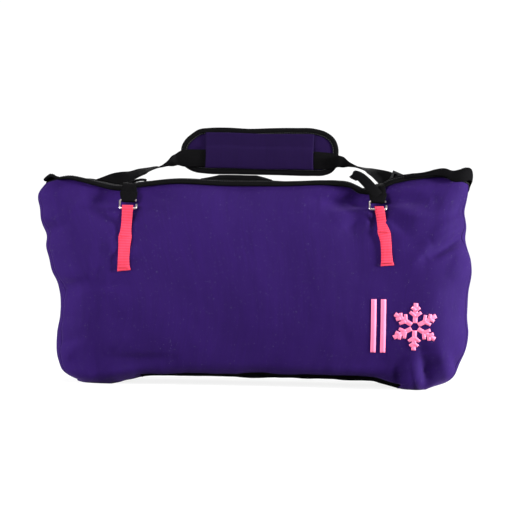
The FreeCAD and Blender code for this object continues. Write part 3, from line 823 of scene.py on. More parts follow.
def make_shell():
    """Front, back, end and base panels, split from one slack closed shell.  Gives back the
    line of the mouth and the shell as a tree that rays can be cast at."""
    vertices, faces, panels, rows, count = shell_grid()
    normals = vertex_normals(vertices, faces)
    if normals[len(vertices) // 3] @ (vertices[len(vertices) // 3] - vertices.mean(0)) < 0:
        faces = [tuple(reversed(face)) for face in faces]
        normals = -normals
    seam = shared(faces, panels, len(vertices))
    mouth = np.zeros(len(vertices), bool)
    mouth[(rows - 1) * count:rows * count] = True
    push = slackness(vertices)
    push[mouth] *= 0.25
    vertices = vertices + normals * push[:, None]
    vertices[:, 2] = np.maximum(vertices[:, 2], LOWEST)
    held = np.where(mouth, 1.0, np.where(seam, 0.75, 0.0))
    held[vertices[:, 2] < 8] = 1.0
    moved = slack_cloth(vertices, faces, held)
    moved[:, 2] = np.maximum(moved[:, 2], LOWEST)
    vertices = np.where(mouth[:, None], vertices, moved)

    # The cloth map, measured round the bag from two places so that neither panel has the jump.
    top = vertices[(rows - 1) * count:rows * count]
    reach = np.linalg.norm(np.roll(top, -1, axis=0) - top, axis=1)
    round_front = np.concatenate([[0], np.cumsum(reach)[:-1]])
    round_back = round_front.copy()
    round_front[count // 2:] -= reach.sum()
    uv = {}
    for name, around in (("from_front", round_front), ("from_back", round_back)):
        flat = vertices[:, :2].copy()
        for row in range(rows):
            flat[row * count:(row + 1) * count, 0] = around
            flat[row * count:(row + 1) * count, 1] = vertices[row * count:(row + 1) * count, 2]
        uv[name] = flat
    vertices, faces, panels, uv = finer(vertices, faces, panels, uv)

    normals = vertex_normals(vertices, faces)
    folded = creases(vertices, normals) * np.clip(0.4 + vertices[:, 2] / 25, 0, 1)
    rising = through(MOUTH_EDGE, vertices[:, 0]) - vertices[:, 2]
    vertices = vertices + normals * (folded * ease(2, 20, rising))[:, None]
    seam = shared(faces, panels, len(vertices))
    vertices[seam] -= normals[seam] * 0.7
    vertices[:, 2] = np.maximum(vertices[:, 2], LOWEST)

    for panel in sorted(set(panels)):
        own = [face for face, name in zip(faces, panels) if name == panel]
        used = sorted({corner for face in own for corner in face})
        number = {corner: k for k, corner in enumerate(used)}
        shown = M["black"] if panel == "base_panel" else M["purple"]
        flat = uv["from_front" if panel == "front_panel" else "from_back"][used]
        piece = mesh_object(panel + "_cloth", vertices[used],
                            [tuple(number[c] for c in face) for face in own], shown,
                            "bag", flat)
        thicken(piece, CLOTH, -1)
        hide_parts(panel)
    tree = BVHTree.FromPolygons([tuple(v) for v in vertices], faces)
    return mouth_line(vertices, faces), tree


def mouth_line(vertices, faces):
    """The shell's open top edge as one closed line, counter-clockwise from above."""
    uses = {}
    for face in faces:
        for a, b in zip(face, face[1:] + face[:1]):
            uses.setdefault((min(a, b), max(a, b)), []).append((a, b))
    after = {}
    for pair in uses.values():
        if len(pair) == 1:
            after[pair[0][0]] = pair[0][1]
    line = [min(after)]
    while after[line[-1]] != line[0]:
        line.append(after[line[-1]])
    line = vertices[line]
    turned = np.cross(line[:, :2], np.roll(line[:, :2], -1, axis=0)).sum()
    return line if turned > 0 else line[::-1]


def over_cloth(x, z, lift, side=-1):
    """A place lift millimetres out from the front cloth, or, with side 1, the back cloth."""
    place, normal, _, _ = shell_tree.ray_cast(Vector((x, side * 400, z)), Vector((0, -side, 0)))
    normal = np.array(normal)
    return np.array(place) + (normal if normal[1] * side > 0 else -normal) * lift


rim, shell_tree = make_shell()


# ------------------------------------------------------------------ mouth and lid
# The top of the lid's front edge: (place, height) pairs in millimetres.
LID_EDGE = [(-299, 275), (-294, 278), (-289, 281.5), (-284, 285), (-280, 285), (-273, 281),
            (-267, 282), (-256, 283.5), (-238, 281.5), (-222, 278), (-205, 274.5), (-186, 272.5),
            (-168, 275), (-150, 278.5), (-138, 281), (-113, 284), (-60, 283.5), (0, 284),
            (60, 283), (110, 286), (128, 284), (140, 279), (150, 274.5), (158, 275.5),
            (168, 280), (184, 290), (200, 295.3), (212, 295), (225, 296), (236, 298.5),
            (246, 301.5), (258, 303), (268, 300), (282, 302.5), (292, 304.5), (298, 300),
            (303, 296)]
LID_LEFT, LID_RIGHT, LID_BEND = 293.0, 294.5, 22.0
LID_FRONT, LID_REAR = LID_HALF + 4.0, LID_HALF - 0.5
LID_BACK = 281.2


def turned_down(x):
    """How far the lid's front edge is turned down over the mouth."""
    band = float(through(LID_EDGE, x) - through(MOUTH_EDGE, x)) - 1.8
    return min(max(band, 0.0), 9.0) * float(ease(-274, -246, x))


def lid_height(x, y):
    """Height of the lid's cloth over a place."""
    front = float(through(LID_EDGE, x)) - 1.2
    share = max(1 - (y / LID_FRONT) ** 2, 0)
    rear = LID_BACK - rear_sag(x)
    level = front + (rear - front) * float(ease(-LID_HALF * 0.8, LID_HALF * 0.8, y))
    ripple = 1.3 * noise.noise(Vector((x / 42, y / 26, 3.0)))
    level -= turned_down(x) * min(max((-y - 45.5) / (LID_FRONT - 45.5), 0.0), 1.2) ** 2
    return level + (0.9 + ripple) * share


def lid_point(x, y, lift=0.0):
    """A place on the lid or a little over it."""
    return np.array([x, y, lid_height(x, y) + lift])


def lid_outline(inset):
    """The lid's edge, seen from above, counter-clockwise from the right front corner."""
    left, right = LID_LEFT - inset, LID_RIGHT - inset
    front, rear = LID_FRONT - inset, LID_REAR - inset
    bend = LID_BEND - inset / 2
    loop = []
    corners = [(right - bend, -front + bend), (right - bend, rear - bend),
               (-left + bend, rear - bend), (-left + bend, -front + bend)]
    for number, (cx, cy) in enumerate(corners):
        for step in range(7):
            angle = math.radians(-90 + 90 * number + 15 * step)
            loop.append((cx + bend * math.cos(angle), cy + bend * math.sin(angle)))
    whole = []
    for (x, y), (x2, y2) in zip(loop, loop[1:] + loop[:1]):
        steps = max(1, round(math.hypot(x2 - x, y2 - y) / 6))
        whole += [(x + (x2 - x) * k / steps, y + (y2 - y) * k / steps) for k in range(steps)]
    return whole


def make_mouth():
    """Tape folded over the top edge of the panels."""
    inwards = unit(np.cross(UP, directions(rim, True)))
    line = rim + inwards * 0.55
    tape = sweep("mouth_tape", line, inwards, fold_section(3.4, 0.8, 1.5), M["tape"], "bag",
                 True)
    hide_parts("mouth_binding")
    stitches("mouth_tape_stitches", line - inwards * 1.6 - UP * 2.3, -inwards,
             M["black_thread"], "bag", closed=True)


def make_lid():
    """The lid's cloth with its edge tape, stitching and the cloth hinge behind."""
    spans, steps = 150, 30
    vertices, uv = [], []
    for k in range(spans + 1):
        x = -LID_LEFT + (LID_LEFT + LID_RIGHT) * k / spans
        near = LID_BEND - min(LID_BEND, LID_LEFT + x, LID_RIGHT - x)
        cut = LID_BEND - math.sqrt(max(LID_BEND ** 2 - near ** 2, 0))
        for step in range(steps + 1):
            y = -LID_FRONT + cut + (LID_FRONT + LID_REAR - 2 * cut) * step / steps
            vertices.append(lid_point(x, y))
            uv.append((x, y))
    cloth = mesh_object("lid_cloth", vertices, grid_faces(spans + 1, steps + 1), M["black"],
                        "lid", uv)
    thicken(cloth, CLOTH, -1)
    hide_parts("lid_panel")

    # The tape runs round the ends and the front; behind, the hinge covers the edge.
    outline = np.array([(x, y, 0) for x, y in lid_outline(0.4)])
    start = int(np.argmax(outline[:, 1] * 10 - outline[:, 0]))
    outline = np.roll(outline, -start, axis=0)
    outline = outline[(outline[:, 1] < 42)]
    edge = np.array([lid_point(x, y, -0.5) for x, y, _ in outline])
    flat = unit(np.cross(directions(outline), UP))
    inside = np.array([lid_point(x, y, -0.5) for x, y, _ in outline - flat * 1.5])
    outwards = unit(edge - inside)
    inner = 1.1  # half the gap that the lid's edge is in
    section = folded_section(4.8, (0, inner + TAPE, inner + TAPE, 7), (0, inner, inner, 5))
    tape = sweep("lid_tape", edge, outwards, section, M["tape"], "lid")
    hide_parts("lid_binding")
    over = unit(np.cross(outwards, directions(edge)))
    over = over * np.sign(over[:, 2:] + 1e-6)
    stitches("lid_tape_stitches", edge - outwards * 4.2 + over * 2.15, over,
             M["black_thread"], "lid")

    places = np.arange(-276, 284, 4.0)
    drop = []
    for x in places:
        sag = UP * rear_sag(x)
        drop.append([over_cloth(x, z - rear_sag(x), 1.3, 1) for z in (263, 270)] + [
            np.array([x, 49.8, 278.2]) - sag, np.array([x, 49.4, 281.4]) - sag,
            lid_point(x, 46.5, 1.5) + BACK * 0.4, lid_point(x, 41, 1.4), lid_point(x, 34, 1.2)])
    lines = [smooth_line(points, 1.8) for points in drop]
    count = min(len(line) for line in lines)
    lines = [line[np.linspace(0, len(line) - 1, count).round().astype(int)] for line in lines]
    vertices = np.vstack(lines)
    uv = [(x, 1.8 * k) for x in places for k in range(count)]
    hinge = mesh_object("back_hinge_tape", vertices, grid_faces(len(places), count, True),
                        M["tape"], None, uv)
    thicken(hinge, TAPE, 0)
    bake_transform(hinge)


def folded_section(wide, outer, inner):
    """The section of a tape folded round an edge, wide millimetres onto each face.  Its
    outer and inner sides are each (offset, bulge, half the thickness, points)."""
    section = []
    for turned, (offset, bulge, half, count) in ((1, outer), (-1, inner)):
        section.append((-wide, turned * half))
        section += [(offset + bulge * math.cos(a), half * math.sin(a))
                    for a in np.linspace(turned * math.pi / 2, -turned * math.pi / 2, count)]
        section.append((-wide, -turned * half))
    return section


def make_hood():
    """The lid's right end, puffed up and turned down over the bag's end."""
    outline = np.array([(x, y, 0) for x, y in lid_outline(-3.0)])
    outline = np.roll(outline, len(outline) // 4, axis=0)
    loop = smooth_line(outline[(outline[:, 0] > 200) & (outline[:, 1] < 41)], 4.0)
    flat = unit(np.cross(directions(loop), UP))
    deep, steps = 15.0, 8
    vertices, uv = [], []
    for (x, y, _), (nx, ny, _) in zip(loop, flat):
        reach = float(ease(226, 286, x)) * (1 - 0.7 * float(ease(5, 38, y)))
        reach = 3.0 + (deep - 3.0) * reach
        wave = noise.noise(Vector((x / 16, y / 16, 2.0)))
        top = lid_height(x - 4 * nx, min(max(y, -42.0), 42.0)) + 1.0
        sunk = 2.4 * (1 - float(ease(200, 216, x)))
        for inset, lift in ((11.0, 0.2), (6.5, 1.1), (2.4, 0.9), (0.6, -0.4)):
            vertices.append((x - nx * inset, y - ny * inset, top + lift - sunk))
            uv.append((x + y, -inset))
        for step in range(1, steps + 1):
            share = step / steps
            swell = 0.8 * math.sin(math.pi * share) + 0.9 * wave * share + 0.3 * share
            vertices.append((x + nx * (swell - 0.5 * sunk), y + ny * (swell - 0.5 * sunk),
                             top - 1.2 - sunk - reach * share))
            uv.append((x + y, reach * share))
    rows = steps + 4
    hood = mesh_object("right_hood_cloth", vertices, grid_faces(len(loop), rows, True),
                       M["black"], "lid", uv)
    thicken(hood, CLOTH, 0)


make_mouth()
make_lid()
make_hood()


# ------------------------------------------------------------------ grab handle
def make_handle():
    """Webbing folded and stitched into a grip, flat where it is sewn to the lid."""
    low, high = BOX["grab_handle"][0][0], BOX["grab_handle"][1][0]
    middle = (low + high) / 2
    places = np.linspace(low, high, 60)
    vertices, uv = [], []
    ring = 20
    for x in places:
        grip = min(1.0, max(0.0, (x - low) / 26), max(0.0, (high - x) / 22))
        half = 12.5 - 6.0 * grip
        thick = 1.0 + 3.4 * grip
        rise = lid_height(x, 0) + 1.2 + 3.2 * grip
        for k in range(ring):
            angle = 2 * math.pi * k / ring
            across = math.copysign(abs(math.cos(angle)) ** (0.35 + 0.4 * grip), math.cos(angle))
            out = math.copysign(abs(math.sin(angle)) ** 0.75, math.sin(angle))
            lump = 1 + 0.05 * noise.noise(Vector((x / 9, k / 5.0, 1.0)))
            vertices.append((x, half * across * lump, rise + thick * out * lump))
            uv.append((x, (k if k <= ring / 2 else ring - k) * 1.9))
    handle = mesh_object("handle_webbing", vertices, tube_faces(len(places), ring),
                         M["webbing"], "lid", uv)
    tidy_normals(handle)
    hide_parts("grab_handle")
    runs = []
    for side in (-1, 1):
        foot = middle + side * (high - low) / 2
        corners = [(foot - side * 2, -9), (foot - side * 12, 9), (foot - side * 12, -9),
                   (foot - side * 2, 9), (foot - side * 2, -9), (foot - side * 12, -9)]
        line = [lid_point(x, y, 2.5) for x, y in corners]
        runs.append(stepped(line, 6))
    seam_line = [(x, -4.6, lid_height(x, 0) + 8.4) for x in np.linspace(low + 26, high - 26, 20)]
    runs.append(np.array(seam_line))
    for number, run in enumerate(runs):
        stitches("handle_stitches_%d" % number, run, UP, M["black_thread"], "lid",
                 pitch=2.8, long=2.0)


make_handle()


# ------------------------------------------------------------------ hook straps and tabs
def varied_ribbon(name, points, widths, thick, material, body, spacing=2.0, across=RIGHT):
    """Webbing whose width changes along it: widths are one for each point, and across is
    one direction, or one for each point."""
    points = np.array(points, float)
    both = smooth_line(np.hstack([points, np.broadcast_to(np.asarray(across, float),
                                                          points.shape),
                                  np.array(widths, float)[:, None]]), spacing)
    line = both[:, :3]
    ahead = directions(line)
    out = unit(np.cross(ahead, unit(both[:, 3:6])))
    across = unit(np.cross(out, ahead))
    vertices, uv = [], []
    for place, wide, a, o, along in zip(line, both[:, 6], across, out, lengths(line)):
        for u, v in rounded_section(wide, thick):
            vertices.append(place + a * u + o * v)
            uv.append((along, u))
    faces = tube_faces(len(line), len(vertices) // len(line))
    piece = mesh_object(name, vertices, faces, material, body, uv)
    tidy_normals(piece)
    return piece


WIRE = 1.3  # the hook wire's radius


def hook_bars(side):
    """The middles of a wire hook's upper and lower bars."""
    low, high = BOX[side + "_hook"]
    x, lean = (low[0] + high[0]) / 2, math.radians(29.45)
    upper = np.array([x, high[1] - WIRE, high[2] - WIRE])
    lower = np.array([x, low[1] + WIRE, low[2] + WIRE])
    return upper, lower, np.array([0, -math.sin(lean), -math.cos(lean)])


def make_hook_strap(side):
    """Webbing sewn over the lid, with its drop round the hook's upper bar and its tail."""
    upper, _, down = hook_bars(side)
    x = upper[0]
    out = np.array([0, down[2], -down[1]])
    back_end = BOX[side + "_strap_over"][1][1]
    over = ribbon(side + "_lid_strap", [lid_point(x, y, 1.6) for y in
                                        np.linspace(back_end, -40, 14)],
                  RIGHT, 20, 1.4, M["webbing"], "lid")
    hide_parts(side + "_strap_over")
    corners = [(x + u, y) for u, y in [(-7, 40), (7, 40), (7, 26), (-7, 26), (-7, 40),
                                       (7, 26), (-7, 26), (7, 40)]]
    stitches(side + "_lid_strap_stitches", [lid_point(u, v, 2.6) for u, v in stepped(corners, 7)],
             UP, M["black_thread"], "lid", pitch=2.8, long=2.0)

    turn = WIRE + 0.15 + 0.7  # the wire, a gap and half the webbing
    start = lid_point(x, -40, 1.6)
    tilt = {"left": 0.0, "right": 0.30}[side]
    edge = lid_point(x, -LID_FRONT, 1.0) - BACK * 3.4 + UP * 10 * tilt
    front = upper - out * turn
    back = upper + out * turn
    points = [start, lid_point(x, -45, 2.4), lid_point(x, -49.5, 2.8) - BACK * 0.6, edge,
              front - down * 11.5, front - down * 6, front]
    points += around(upper, -out, down, turn, (35, 90, 145))
    points += [back, back - down * 7 - out * 0.8, back - down * 13 - out * 0.9]
    widths = [18, 18, 18.5, 20, 23, 22.5, 19] + [18.8] * 3 + [19, 23.5, 24.5]
    slants = [0.15, 0.7, 1.0, 1.0, 0.6, 0.2] + [0.0] * (len(points) - 6)
    drop = varied_ribbon(side + "_hook_webbing", points, widths, 1.3, M["webbing"], None,
                         across=[unit([1, 0, tilt * slant]) for slant in slants])
    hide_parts(side + "_hook_strap")
    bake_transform(drop)
    tack = front - down * 5.2 - out * 0.75
    line = np.array([tack + RIGHT * u for u in np.linspace(-8, 8, 12)])
    for number, shift in enumerate((0.0, -1.3)):
        stitches("%s_hook_tack_%d" % (side, number), line + down * shift, -out,
                 M["black_thread"], side + "_hook_drop", pitch=1.5, long=1.2)


def make_tails():
    """The straps' cut ends, each folded back on itself on the lid."""
    x, y, _ = BOX["left_strap_tail"].mean(axis=0)
    left = [(x + u, y, lid_height(x + u, y) + lift)
            for u, lift in ((-12, 2.6), (-6, 4.2), (1, 4.8), (7, 4.4), (12, 2.8))]
    tail = ribbon("left_tail_webbing", left, (0, 1, 0), 14, 3.2, M["webbing"], "lid")
    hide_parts("left_strap_tail")
    x = BOX["right_strap_tail"][1][0] - 1
    front = -LID_FRONT - 9.5
    right = [(x - 1, front, 264), (x - 5, front - 0.6, 269), (x - 11, front - 0.4, 276),
             (x - 18, front + 0.8, 283.4), (x - 25, front + 2.4, 289.6),
             (x - 30, front + 3.6, 292.6), (x - 34.5, front + 4.6, 293.4),
             (x - 36.5, front + 6.2, 292.2), (x - 34, front + 7.6, 291.2),
             (x - 28, front + 7.4, 288.4)]
    widths = [15, 15, 14.5, 14, 13, 11.5, 10.5, 10, 10, 10]
    tail = varied_ribbon("right_tail_webbing", right, widths, 1.5, M["webbing"], "lid", 1.5,
                         unit([0.68, 0.10, 0.73]))
    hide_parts("right_strap_tail")


# Each tab: (place down the tab as a share, sideways shift, width), in millimetres.
TABS = {
    "left": [(0.0, -0.4, 15.0), (0.12, -0.6, 14.5), (0.28, -1.2, 14.0), (0.40, -1.8, 15.0),
             (0.475, -2.2, 18.0), (0.53, -2.4, 17.2), (0.62, -2.6, 15.8), (0.80, -2.8, 15.2),
             (0.93, -2.4, 16.2), (1.0, -1.6, 18.2)],
    "right": [(0.0, 1.5, 12.0), (0.10, 3.2, 12.5), (0.25, 5.0, 13.0), (0.36, 6.6, 14.6),
              (0.43, 7.6, 17.4), (0.50, 9.2, 16.4), (0.60, 10.3, 14.8), (0.80, 11.2, 14.6),
              (0.93, 11.8, 16.0), (1.0, 12.4, 18.4)],
}


def make_tab(side):
    """A bright webbing tab: a loop for the hook above its bar tack, double below."""
    _, lower, _ = hook_bars(side)
    box = BOX[side + "_loop_tab"]
    top, bottom = box[1][2], box[0][2] + {"left": 0.0, "right": 8.5}[side]
    middle = (box[0][0] + box[1][0]) / 2
    long = top - bottom
    shares, shifts, widths = np.array(TABS[side]).T
    front, back, front_wide = [], [], []
    for share in np.linspace(0.03, 1, 26):
        z = top - long * share
        x = middle + np.interp(share, shares, shifts)
        looped = 1 - float(ease(0.25, 0.46, share))
        flat = over_cloth(x, z, 2.4)[1]
        bar = lower[1] - 2.9
        y = flat + (min(bar, flat) - flat) * looped
        if share < 0.16:
            y = min(y, bar)
        front.append((x, y, z))
        front_wide.append(np.interp(share, shares, widths))
        back.append((x, over_cloth(x, z, 0)[1] - 1.0, z))
    x_top = middle + shifts[0]
    crown = [(x_top, lower[1] + 3.2, top - 3.2), (x_top, lower[1] + 2.4, top - 0.6),
             (x_top, lower[1], top + 0.6), (x_top, lower[1] - 2.4, top - 0.4)]
    inner = [p for p in reversed(back) if p[2] < top - 6]
    points = inner + crown + front
    widths_all = ([np.interp((top - p[2]) / long, shares, widths) - 0.6 for p in inner]
                  + [widths[0]] * len(crown) + front_wide)
    tab = varied_ribbon(side + "_pink_tab", points, widths_all, 1.1, M["pink"], "bag")
    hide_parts(side + "_loop_tab")
    tack_share = {"left": 0.475, "right": 0.43}[side]
    for number, (share, inset, rows) in enumerate([(tack_share, 2.6, 4), (0.955, 1.6, 2)]):
        z = top - long * share
        x = middle + np.interp(share, shares, shifts)
        half = np.interp(share, shares, widths) / 2 - inset
        y = over_cloth(x, z, 3.45)[1]
        for row in range(rows):
            line = [(x + u, y, z - row * 0.9 + 0.25 * math.sin(u))
                    for u in np.linspace(-half, half, 9)]
            stitches("%s_tab_tack_%d_%d" % (side, number, row), line, (0, -1, 0),
                     M["pink_thread"], "bag", pitch=1.15, long=1.1, radius=0.38)


for hand in ("left", "right"):
    make_hook_strap(hand)
    make_tab(hand)
make_tails()


# ------------------------------------------------------------------ shoulder strap
# The webbing's line and how far it is turned from facing the front, in degrees.
STRAP_LINE = [(-192, 286.6, 38), (-182, 289.6, 52), (-168, 295.2, 61), (-154, 299.2, 73),
              (-143, 301.8, 86), (-134, 304.8, 96), (-127, 308.6, 112), (-121, 312.0, 145),
              (-116, 314.2, 172), (-109, 316.0, 180), (-84, 317.4, 180), (-60, 317.6, 180),
              (0, 317.6, 180), (60, 317.6, 180), (90, 317.4, 180), (110, 317.2, 180),
              (119, 316.6, 172), (124, 315.4, 145), (130, 313.2, 114), (137, 310.6, 100),
              (145, 308.2, 88), (155, 305.8, 77), (163, 303.6, 65), (170, 301.0, 54),
              (178, 297.2, 36), (186, 293.0, 14), (193, 289.9, 2), (203, 286.2, 0)]
# The middles, (x, z), of the D-rings' curved sides and the radius of their wire.
RINGS, RING_WIRE = {"left": (-227.3, 274.2), "right": (234.3, 273.6)}, 1.8


def ring_wrap(side):
    """The webbing's way round the ring's curved side, from in front of it to behind."""
    x, z = RINGS[side]
    far = -1 if side == "left" else 1
    inwards = unit([far * 0.928, 0, -0.371])
    middle, turn = np.array([x, STRAP_Y, z]), RING_WIRE + 0.25 + 0.75
    places = [middle - inwards * 10 - BACK * (turn - 0.1)]
    places += around(middle, BACK, inwards, turn, (180, 140, 90, 40, 0))
    places += [middle - inwards * 9 + BACK * (turn - 0.2),
               middle - inwards * 18 + BACK * (turn - 0.9),
               middle - inwards * 25 + BACK * (turn - 1.5)]
    return places


def leaning(x):
    """Across the webbing at a place along the strap: it slopes down to the rings."""
    return unit([0.37 * math.copysign(1, x) if abs(x) > 100 else 0, 0, 1.0])


def make_strap():
    """The shoulder strap's webbing: through the pad's sleeve from the left ring to the
    adjuster, and from the adjuster round the right ring."""
    points, across, widths = [], [], []
    for place in reversed(ring_wrap("left")):
        points.append(place)
        across.append(leaning(-200))
        widths.append(20)
    for x, z, turned in STRAP_LINE:
        angle = math.radians(turned)
        # The webbing is cupped where it turns, and turns clear of the pad and of the lid.
        cupped = float(ease(105, 116, abs(x))) * float(ease(158, 138, abs(x)))
        near, edge_on = 1 - float(ease(105, 114, abs(x))), math.sin(angle)
        y = STRAP_Y + 0.3 * near - 6.5 * edge_on * cupped
        y += 5.0 * edge_on * (1 - cupped) * (1 - near)
        points.append((x, y, z))
        across.append(math.cos(angle) * leaning(x) + math.sin(angle) * BACK)
        widths.append(25 - 8.5 * cupped)
    webbing = varied_ribbon("shoulder_webbing", points, widths, 1.5, M["webbing"], None,
                            2.0, across)
    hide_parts("left_strap_leg", "strap_middle")
    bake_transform(webbing)
    points = [(196, STRAP_Y, 288.8), (206, STRAP_Y - 0.2, 284.8), (216, STRAP_Y - 1.6, 280.8)]
    points += ring_wrap("right")
    loop = varied_ribbon("adjuster_webbing", points, [25, 24, 22] + [20] * (len(points) - 3),
                         1.5, M["webbing"], None, 2.0, [leaning(200)] * len(points))
    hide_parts("right_strap_leg")
    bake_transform(loop)
    # Three rows of stitches hold the webbing round the left ring.
    x, z = RINGS["left"]
    back = unit([0.928, 0, 0.371])
    middle = np.array([x, STRAP_Y + 3.0, z]) + back * 16
    line = np.array([middle + leaning(-200) * u for u in np.linspace(-8, 8, 12)])
    for number in range(3):
        stitches("left_strap_tack_%d" % number, line + back * 1.3 * number, BACK,
                 M["black_thread"], "shoulder_strap", pitch=1.6, long=1.3)


def make_ring_tab(side):
    """A webbing tab sewn to the back, curled over the ring's straight bar."""
    box = BOX[side + "_ring_tab"]
    x = (box[0][0] + box[1][0]) / 2
    bar = np.array([x, STRAP_Y, 262.0])
    points = [over_cloth(x, z, 1.6, 1) for z in (225, 232, 240, 247)]
    turn = 1.75 + 0.2 + 0.7  # the ring's wire, a gap and half the webbing
    points += around(bar, BACK, UP, turn, (-20, 30, 90, 150, 200))
    points.append(over_cloth(x, 250, 1.0, 1) + UP * 2)
    points += [over_cloth(x, z, 0.3, 1) for z in (243, 233, 226)]
    tab = ribbon(side + "_ring_webbing", points, RIGHT, 20, 1.3, M["webbing"], "bag", 1.6)
    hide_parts(side + "_ring_tab")
    corners = [(-7, 228), (7, 228), (7, 242), (-7, 242), (-7, 228), (7, 242), (-7, 242), (7, 228)]
    line = [over_cloth(x + u + (u2 - u) * share, z + (z2 - z) * share, 2.5, 1)
            for (u, z), (u2, z2) in zip(corners, corners[1:]) for share in np.arange(6) / 6]
    stitches(side + "_ring_tab_stitches", line, BACK, M["black_thread"], "bag",
             pitch=2.8, long=2.0)


make_strap()
make_ring_tab("left")
make_ring_tab("right")


# ------------------------------------------------------------------ shoulder pad
PAD_OUTLINE = [(-106, 312), (-106.5, 322), (-106, 333), (-101.5, 342), (-93, 350), (-83, 356.5),
               (-70, 358.5), (-45, 359.5), (-10, 358.5), (20, 360), (55, 361), (82, 360.5),
               (99, 355.5), (109, 347.5), (113.5, 337), (113.8, 323), (112.5, 312), (106, 303.5),
               (96, 299.5), (80, 298.6), (30, 298.7), (-30, 298.6), (-75, 299.0), (-88, 300.6),
               (-99, 305.5)]


def sleeve_front(x, z):
    """How far forward the pad's sleeve stands: it bulges over the webbing."""
    share = min(max((z - 302.0) / 33.0, 0.0), 1.0)
    hump = math.sqrt(1 - abs(2 * share - 1) ** 6)
    ripple = 0.5 * noise.noise(Vector((x / 20, z / 30, 7.0)))
    return 65.6 - 3.0 * hump - ripple * math.sin(math.pi * min(max((z - 300) / 56, 0), 1))


def make_pad():
    """The strap's pad: a crowned face and mesh back, foam between, binding and sleeve."""
    outline = smooth_line([(x, 0, z) for x, z in PAD_OUTLINE], 3.0, closed=True)
    spine = np.array([[np.clip(p[0], PAD_X - 66, PAD_X + 66), 0, 329.5] for p in outline])
    rings, middle = 12, 71.5

    def place(k, share, front):
        flat = spine[k] + (outline[k] - spine[k]) * share
        rise = (1 - share ** 2.6) ** 0.8
        wave = 0.4 * noise.noise(Vector((flat[0] / 24, flat[2] / 18, 5.0 if front else 9.0)))
        y = 68.6 - 2.4 * rise - wave * rise if front else 74.6 + 3.4 * rise + wave * rise
        return (flat[0], y, flat[2])

    for name, front, slot, shown, nodes in [
            ("pad_face_cloth", True, "pad_fabric", M["pad"], ("pad_face", "pad_core")),
            ("pad_back_mesh", False, "pad_mesh", M["mesh"], ("pad_back",))]:
        count = len(outline)
        vertices = [place(k, 1 - ring / rings, front) for ring in range(rings + 1)
                    for k in range(count)]
        faces = tube_faces(rings + 1, count, "open")
        first = len(vertices)
        vertices += [(p[0], middle, p[2]) for p in outline]
        faces += [(k, first + k, first + (k + 1) % count, (k + 1) % count) for k in range(count)]
        uv = [(v[0], v[2]) for v in vertices]
        piece = mesh_object(name, vertices, faces, shown, "pad", uv)
        weld = piece.modifiers.new("weld", "WELD")
        weld.merge_threshold = 0.05 * MM
        settle(piece)
        tidy_normals(piece)
        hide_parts(*nodes)

    edge = outline + BACK * middle
    outwards = unit(np.cross(directions(edge, True), BACK))
    if outwards[0] @ (edge[0] - edge.mean(axis=0)) < 0:
        outwards = -outwards
    half = 4.9
    section = folded_section(5.6, (0.6, 2.6, half, 9), (0.3, 1.4, half - 1.3, 7))
    binding = sweep("pad_tape", edge, outwards, section, M["tape"], "pad", True)
    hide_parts("pad_binding")
    for number, side in enumerate((-1, 1)):
        stitches("pad_tape_stitches_%d" % number,
                 edge - outwards * 4.6 + BACK * side * (half + 0.25), BACK * side,
                 M["black_thread"], "pad", closed=True)

    low, high = BOX["pad_sleeve"]
    spans, steps = 60, 24
    vertices, uv = [], []
    for k in range(spans + 1):
        u = k / spans
        for step in range(steps + 1):
            v = step / steps
            x = low[0] + 0.5 + (high[0] - low[0] - 1) * u + 0.5 * math.sin(v * 5 + u * 3)
            z = 303.8 + 50.8 * v + 0.4 * math.sin(u * 9)
            vertices.append((x, sleeve_front(x, z), z))
            uv.append((x, z))
    sleeve = mesh_object("pad_sleeve_cloth", vertices, grid_faces(spans + 1, steps + 1),
                         M["pad"], "pad", uv)
    thicken(sleeve, 1.0, 1)
    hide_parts("pad_sleeve")
    for number, x in enumerate((low[0] + 4.5, high[0] - 4.5)):
        line = [(x, sleeve_front(x, z) - 0.2, z) for z in np.linspace(305.8, 352.6, 22)]
        stitches("pad_sleeve_stitches_%d" % number, line, (0, -1, 0), M["purple_thread"],
                 "pad", pitch=3.0)


make_pad()


# ------------------------------------------------------------------ print
def make_print():
    """A plain six-armed snowflake and two bars, printed on the front's right side."""
    shapes = []

    def bar(start, end, wide):
        start, end = np.array(start, float), np.array(end, float)
        ahead = unit(end - start)
        side = np.array([-ahead[1], ahead[0]]) * wide / 2
        steps = max(2, int(np.linalg.norm(end - start) / 2.0))
        shapes.append([(start + (end - start) * k / steps - side,
                        start + (end - start) * k / steps + side) for k in range(steps + 1)])

    centre, reach = np.array([217.0, 88.0]), 32.0
    for arm in range(6):
        angle = math.radians(60 * arm + 88.8)
        ahead = np.array([math.cos(angle), math.sin(angle)])
        bar(centre + ahead * 5, centre + ahead * reach, 6.0)
        for sign in (-1, 1):
            branch = angle + sign * math.radians(52)
            for distance, size in ((14, 9.5), (22, 7.0)):
                root = centre + ahead * distance
                bar(root, root + size * np.array([math.cos(branch), math.sin(branch)]), 4.4)
    bar((162, 52), (161, 124), 7.0)
    bar((175, 52), (174, 124), 7.0)
    vertices, faces = [], []
    for number, shape in enumerate(shapes):
        first = len(vertices)
        vertices += [over_cloth(x, z, 0.55 + 0.03 * (number % 5)) for pair in shape
                     for x, z in pair]
        faces += shifted(grid_faces(len(shape), 2, True), first)
    ink = mesh_object("front_print", vertices, faces, M["ink"], "bag")
    thicken(ink, 0.25, 0)


make_print()


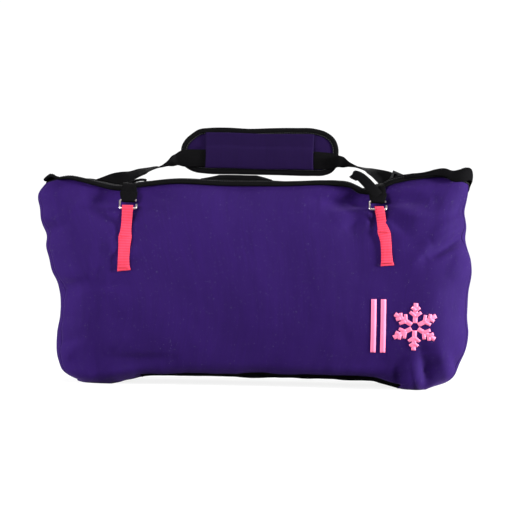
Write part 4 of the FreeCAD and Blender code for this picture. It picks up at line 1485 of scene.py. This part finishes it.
# ------------------------------------------------------------------ room and camera
def make_room():
    """A pale floor, a white studio world and soft lights."""
    rim_points = [(2300 * math.cos(math.pi * k / 48), 2300 * math.sin(math.pi * k / 48), 0)
                  for k in range(96)]
    paper = Nodes("floor_paper")
    lit = paper.add("ShaderNodeLightPath").outputs["Is Camera Ray"]
    paper.feed(paper.shader.inputs["Emission Color"], (1, 1, 1, 1))
    paper.feed(paper.shader.inputs["Emission Strength"], paper.maths("MULTIPLY", lit, 0.86))
    floor = mesh_object("floor", rim_points, [tuple(range(96))],
                        paper.shade(colour=(0.22, 0.22, 0.22, 1), roughness=0.9, specular=0.0))
    world = bpy.data.worlds.new("studio")
    world.use_nodes = True
    tree = world.node_tree
    glow = tree.nodes["Background"]
    glow.inputs[0].default_value = (1, 1, 1, 1)
    seen = tree.nodes.new("ShaderNodeLightPath").outputs["Is Camera Ray"]
    strength = tree.nodes.new("ShaderNodeMapRange")
    strength.inputs["To Min"].default_value = 0.15
    strength.inputs["To Max"].default_value = 1.05
    tree.links.new(seen, strength.inputs["Value"])
    tree.links.new(strength.outputs[0], glow.inputs[1])
    bpy.context.scene.world = world
    bpy.context.scene.view_settings.view_transform = "Standard"
    lamps = [("key", (-1.7, -2.0, 0.7), 0.8, 75), ("side", (2.4, -0.6, 0.45), 0.5, 200),
             ("left", (-2.4, -0.8, 0.4), 0.6, 60), ("back", (0.2, 2.4, 1.9), 1.6, 44),
             ("top", (-0.2, -0.2, 2.6), 1.6, 40)]
    for name, place, size, power in lamps:
        light = bpy.data.lights.new(name, "AREA")
        light.size = size
        light.energy = power
        lamp = bpy.data.objects.new(name, light)
        lamp.location = place
        aim = Vector((0, 0, 0.16)) - Vector(place)
        lamp.rotation_euler = aim.to_track_quat("-Z", "Y").to_euler()
        bpy.context.scene.collection.objects.link(lamp)


def make_camera():
    """Eye level, straight at the front, with the slight roll of the picture."""
    distance, height, across, roll = 2.5, 0.180, 0.714, math.radians(1.2)
    data = bpy.data.cameras.new("camera")
    data.sensor_width = 36
    data.lens = data.sensor_width * distance / across
    camera = bpy.data.objects.new("camera", data)
    camera.matrix_world = (Matrix.Translation((0, -distance, height))
                           @ Matrix.Rotation(math.pi / 2, 4, "X") @ Matrix.Rotation(roll, 4, "Z"))
    bpy.context.scene.collection.objects.link(camera)
    bpy.context.scene.camera = camera


make_room()
make_camera()
for name, material in (("left_hook", "wire"), ("right_hook", "wire"), ("left_d_ring", "wire"),
                       ("right_d_ring", "wire"), ("strap_adjuster", "plastic"),
                       ("base_board", "board")):
    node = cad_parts[name]
    for place in node.material_slots:
        place.material = M[material]
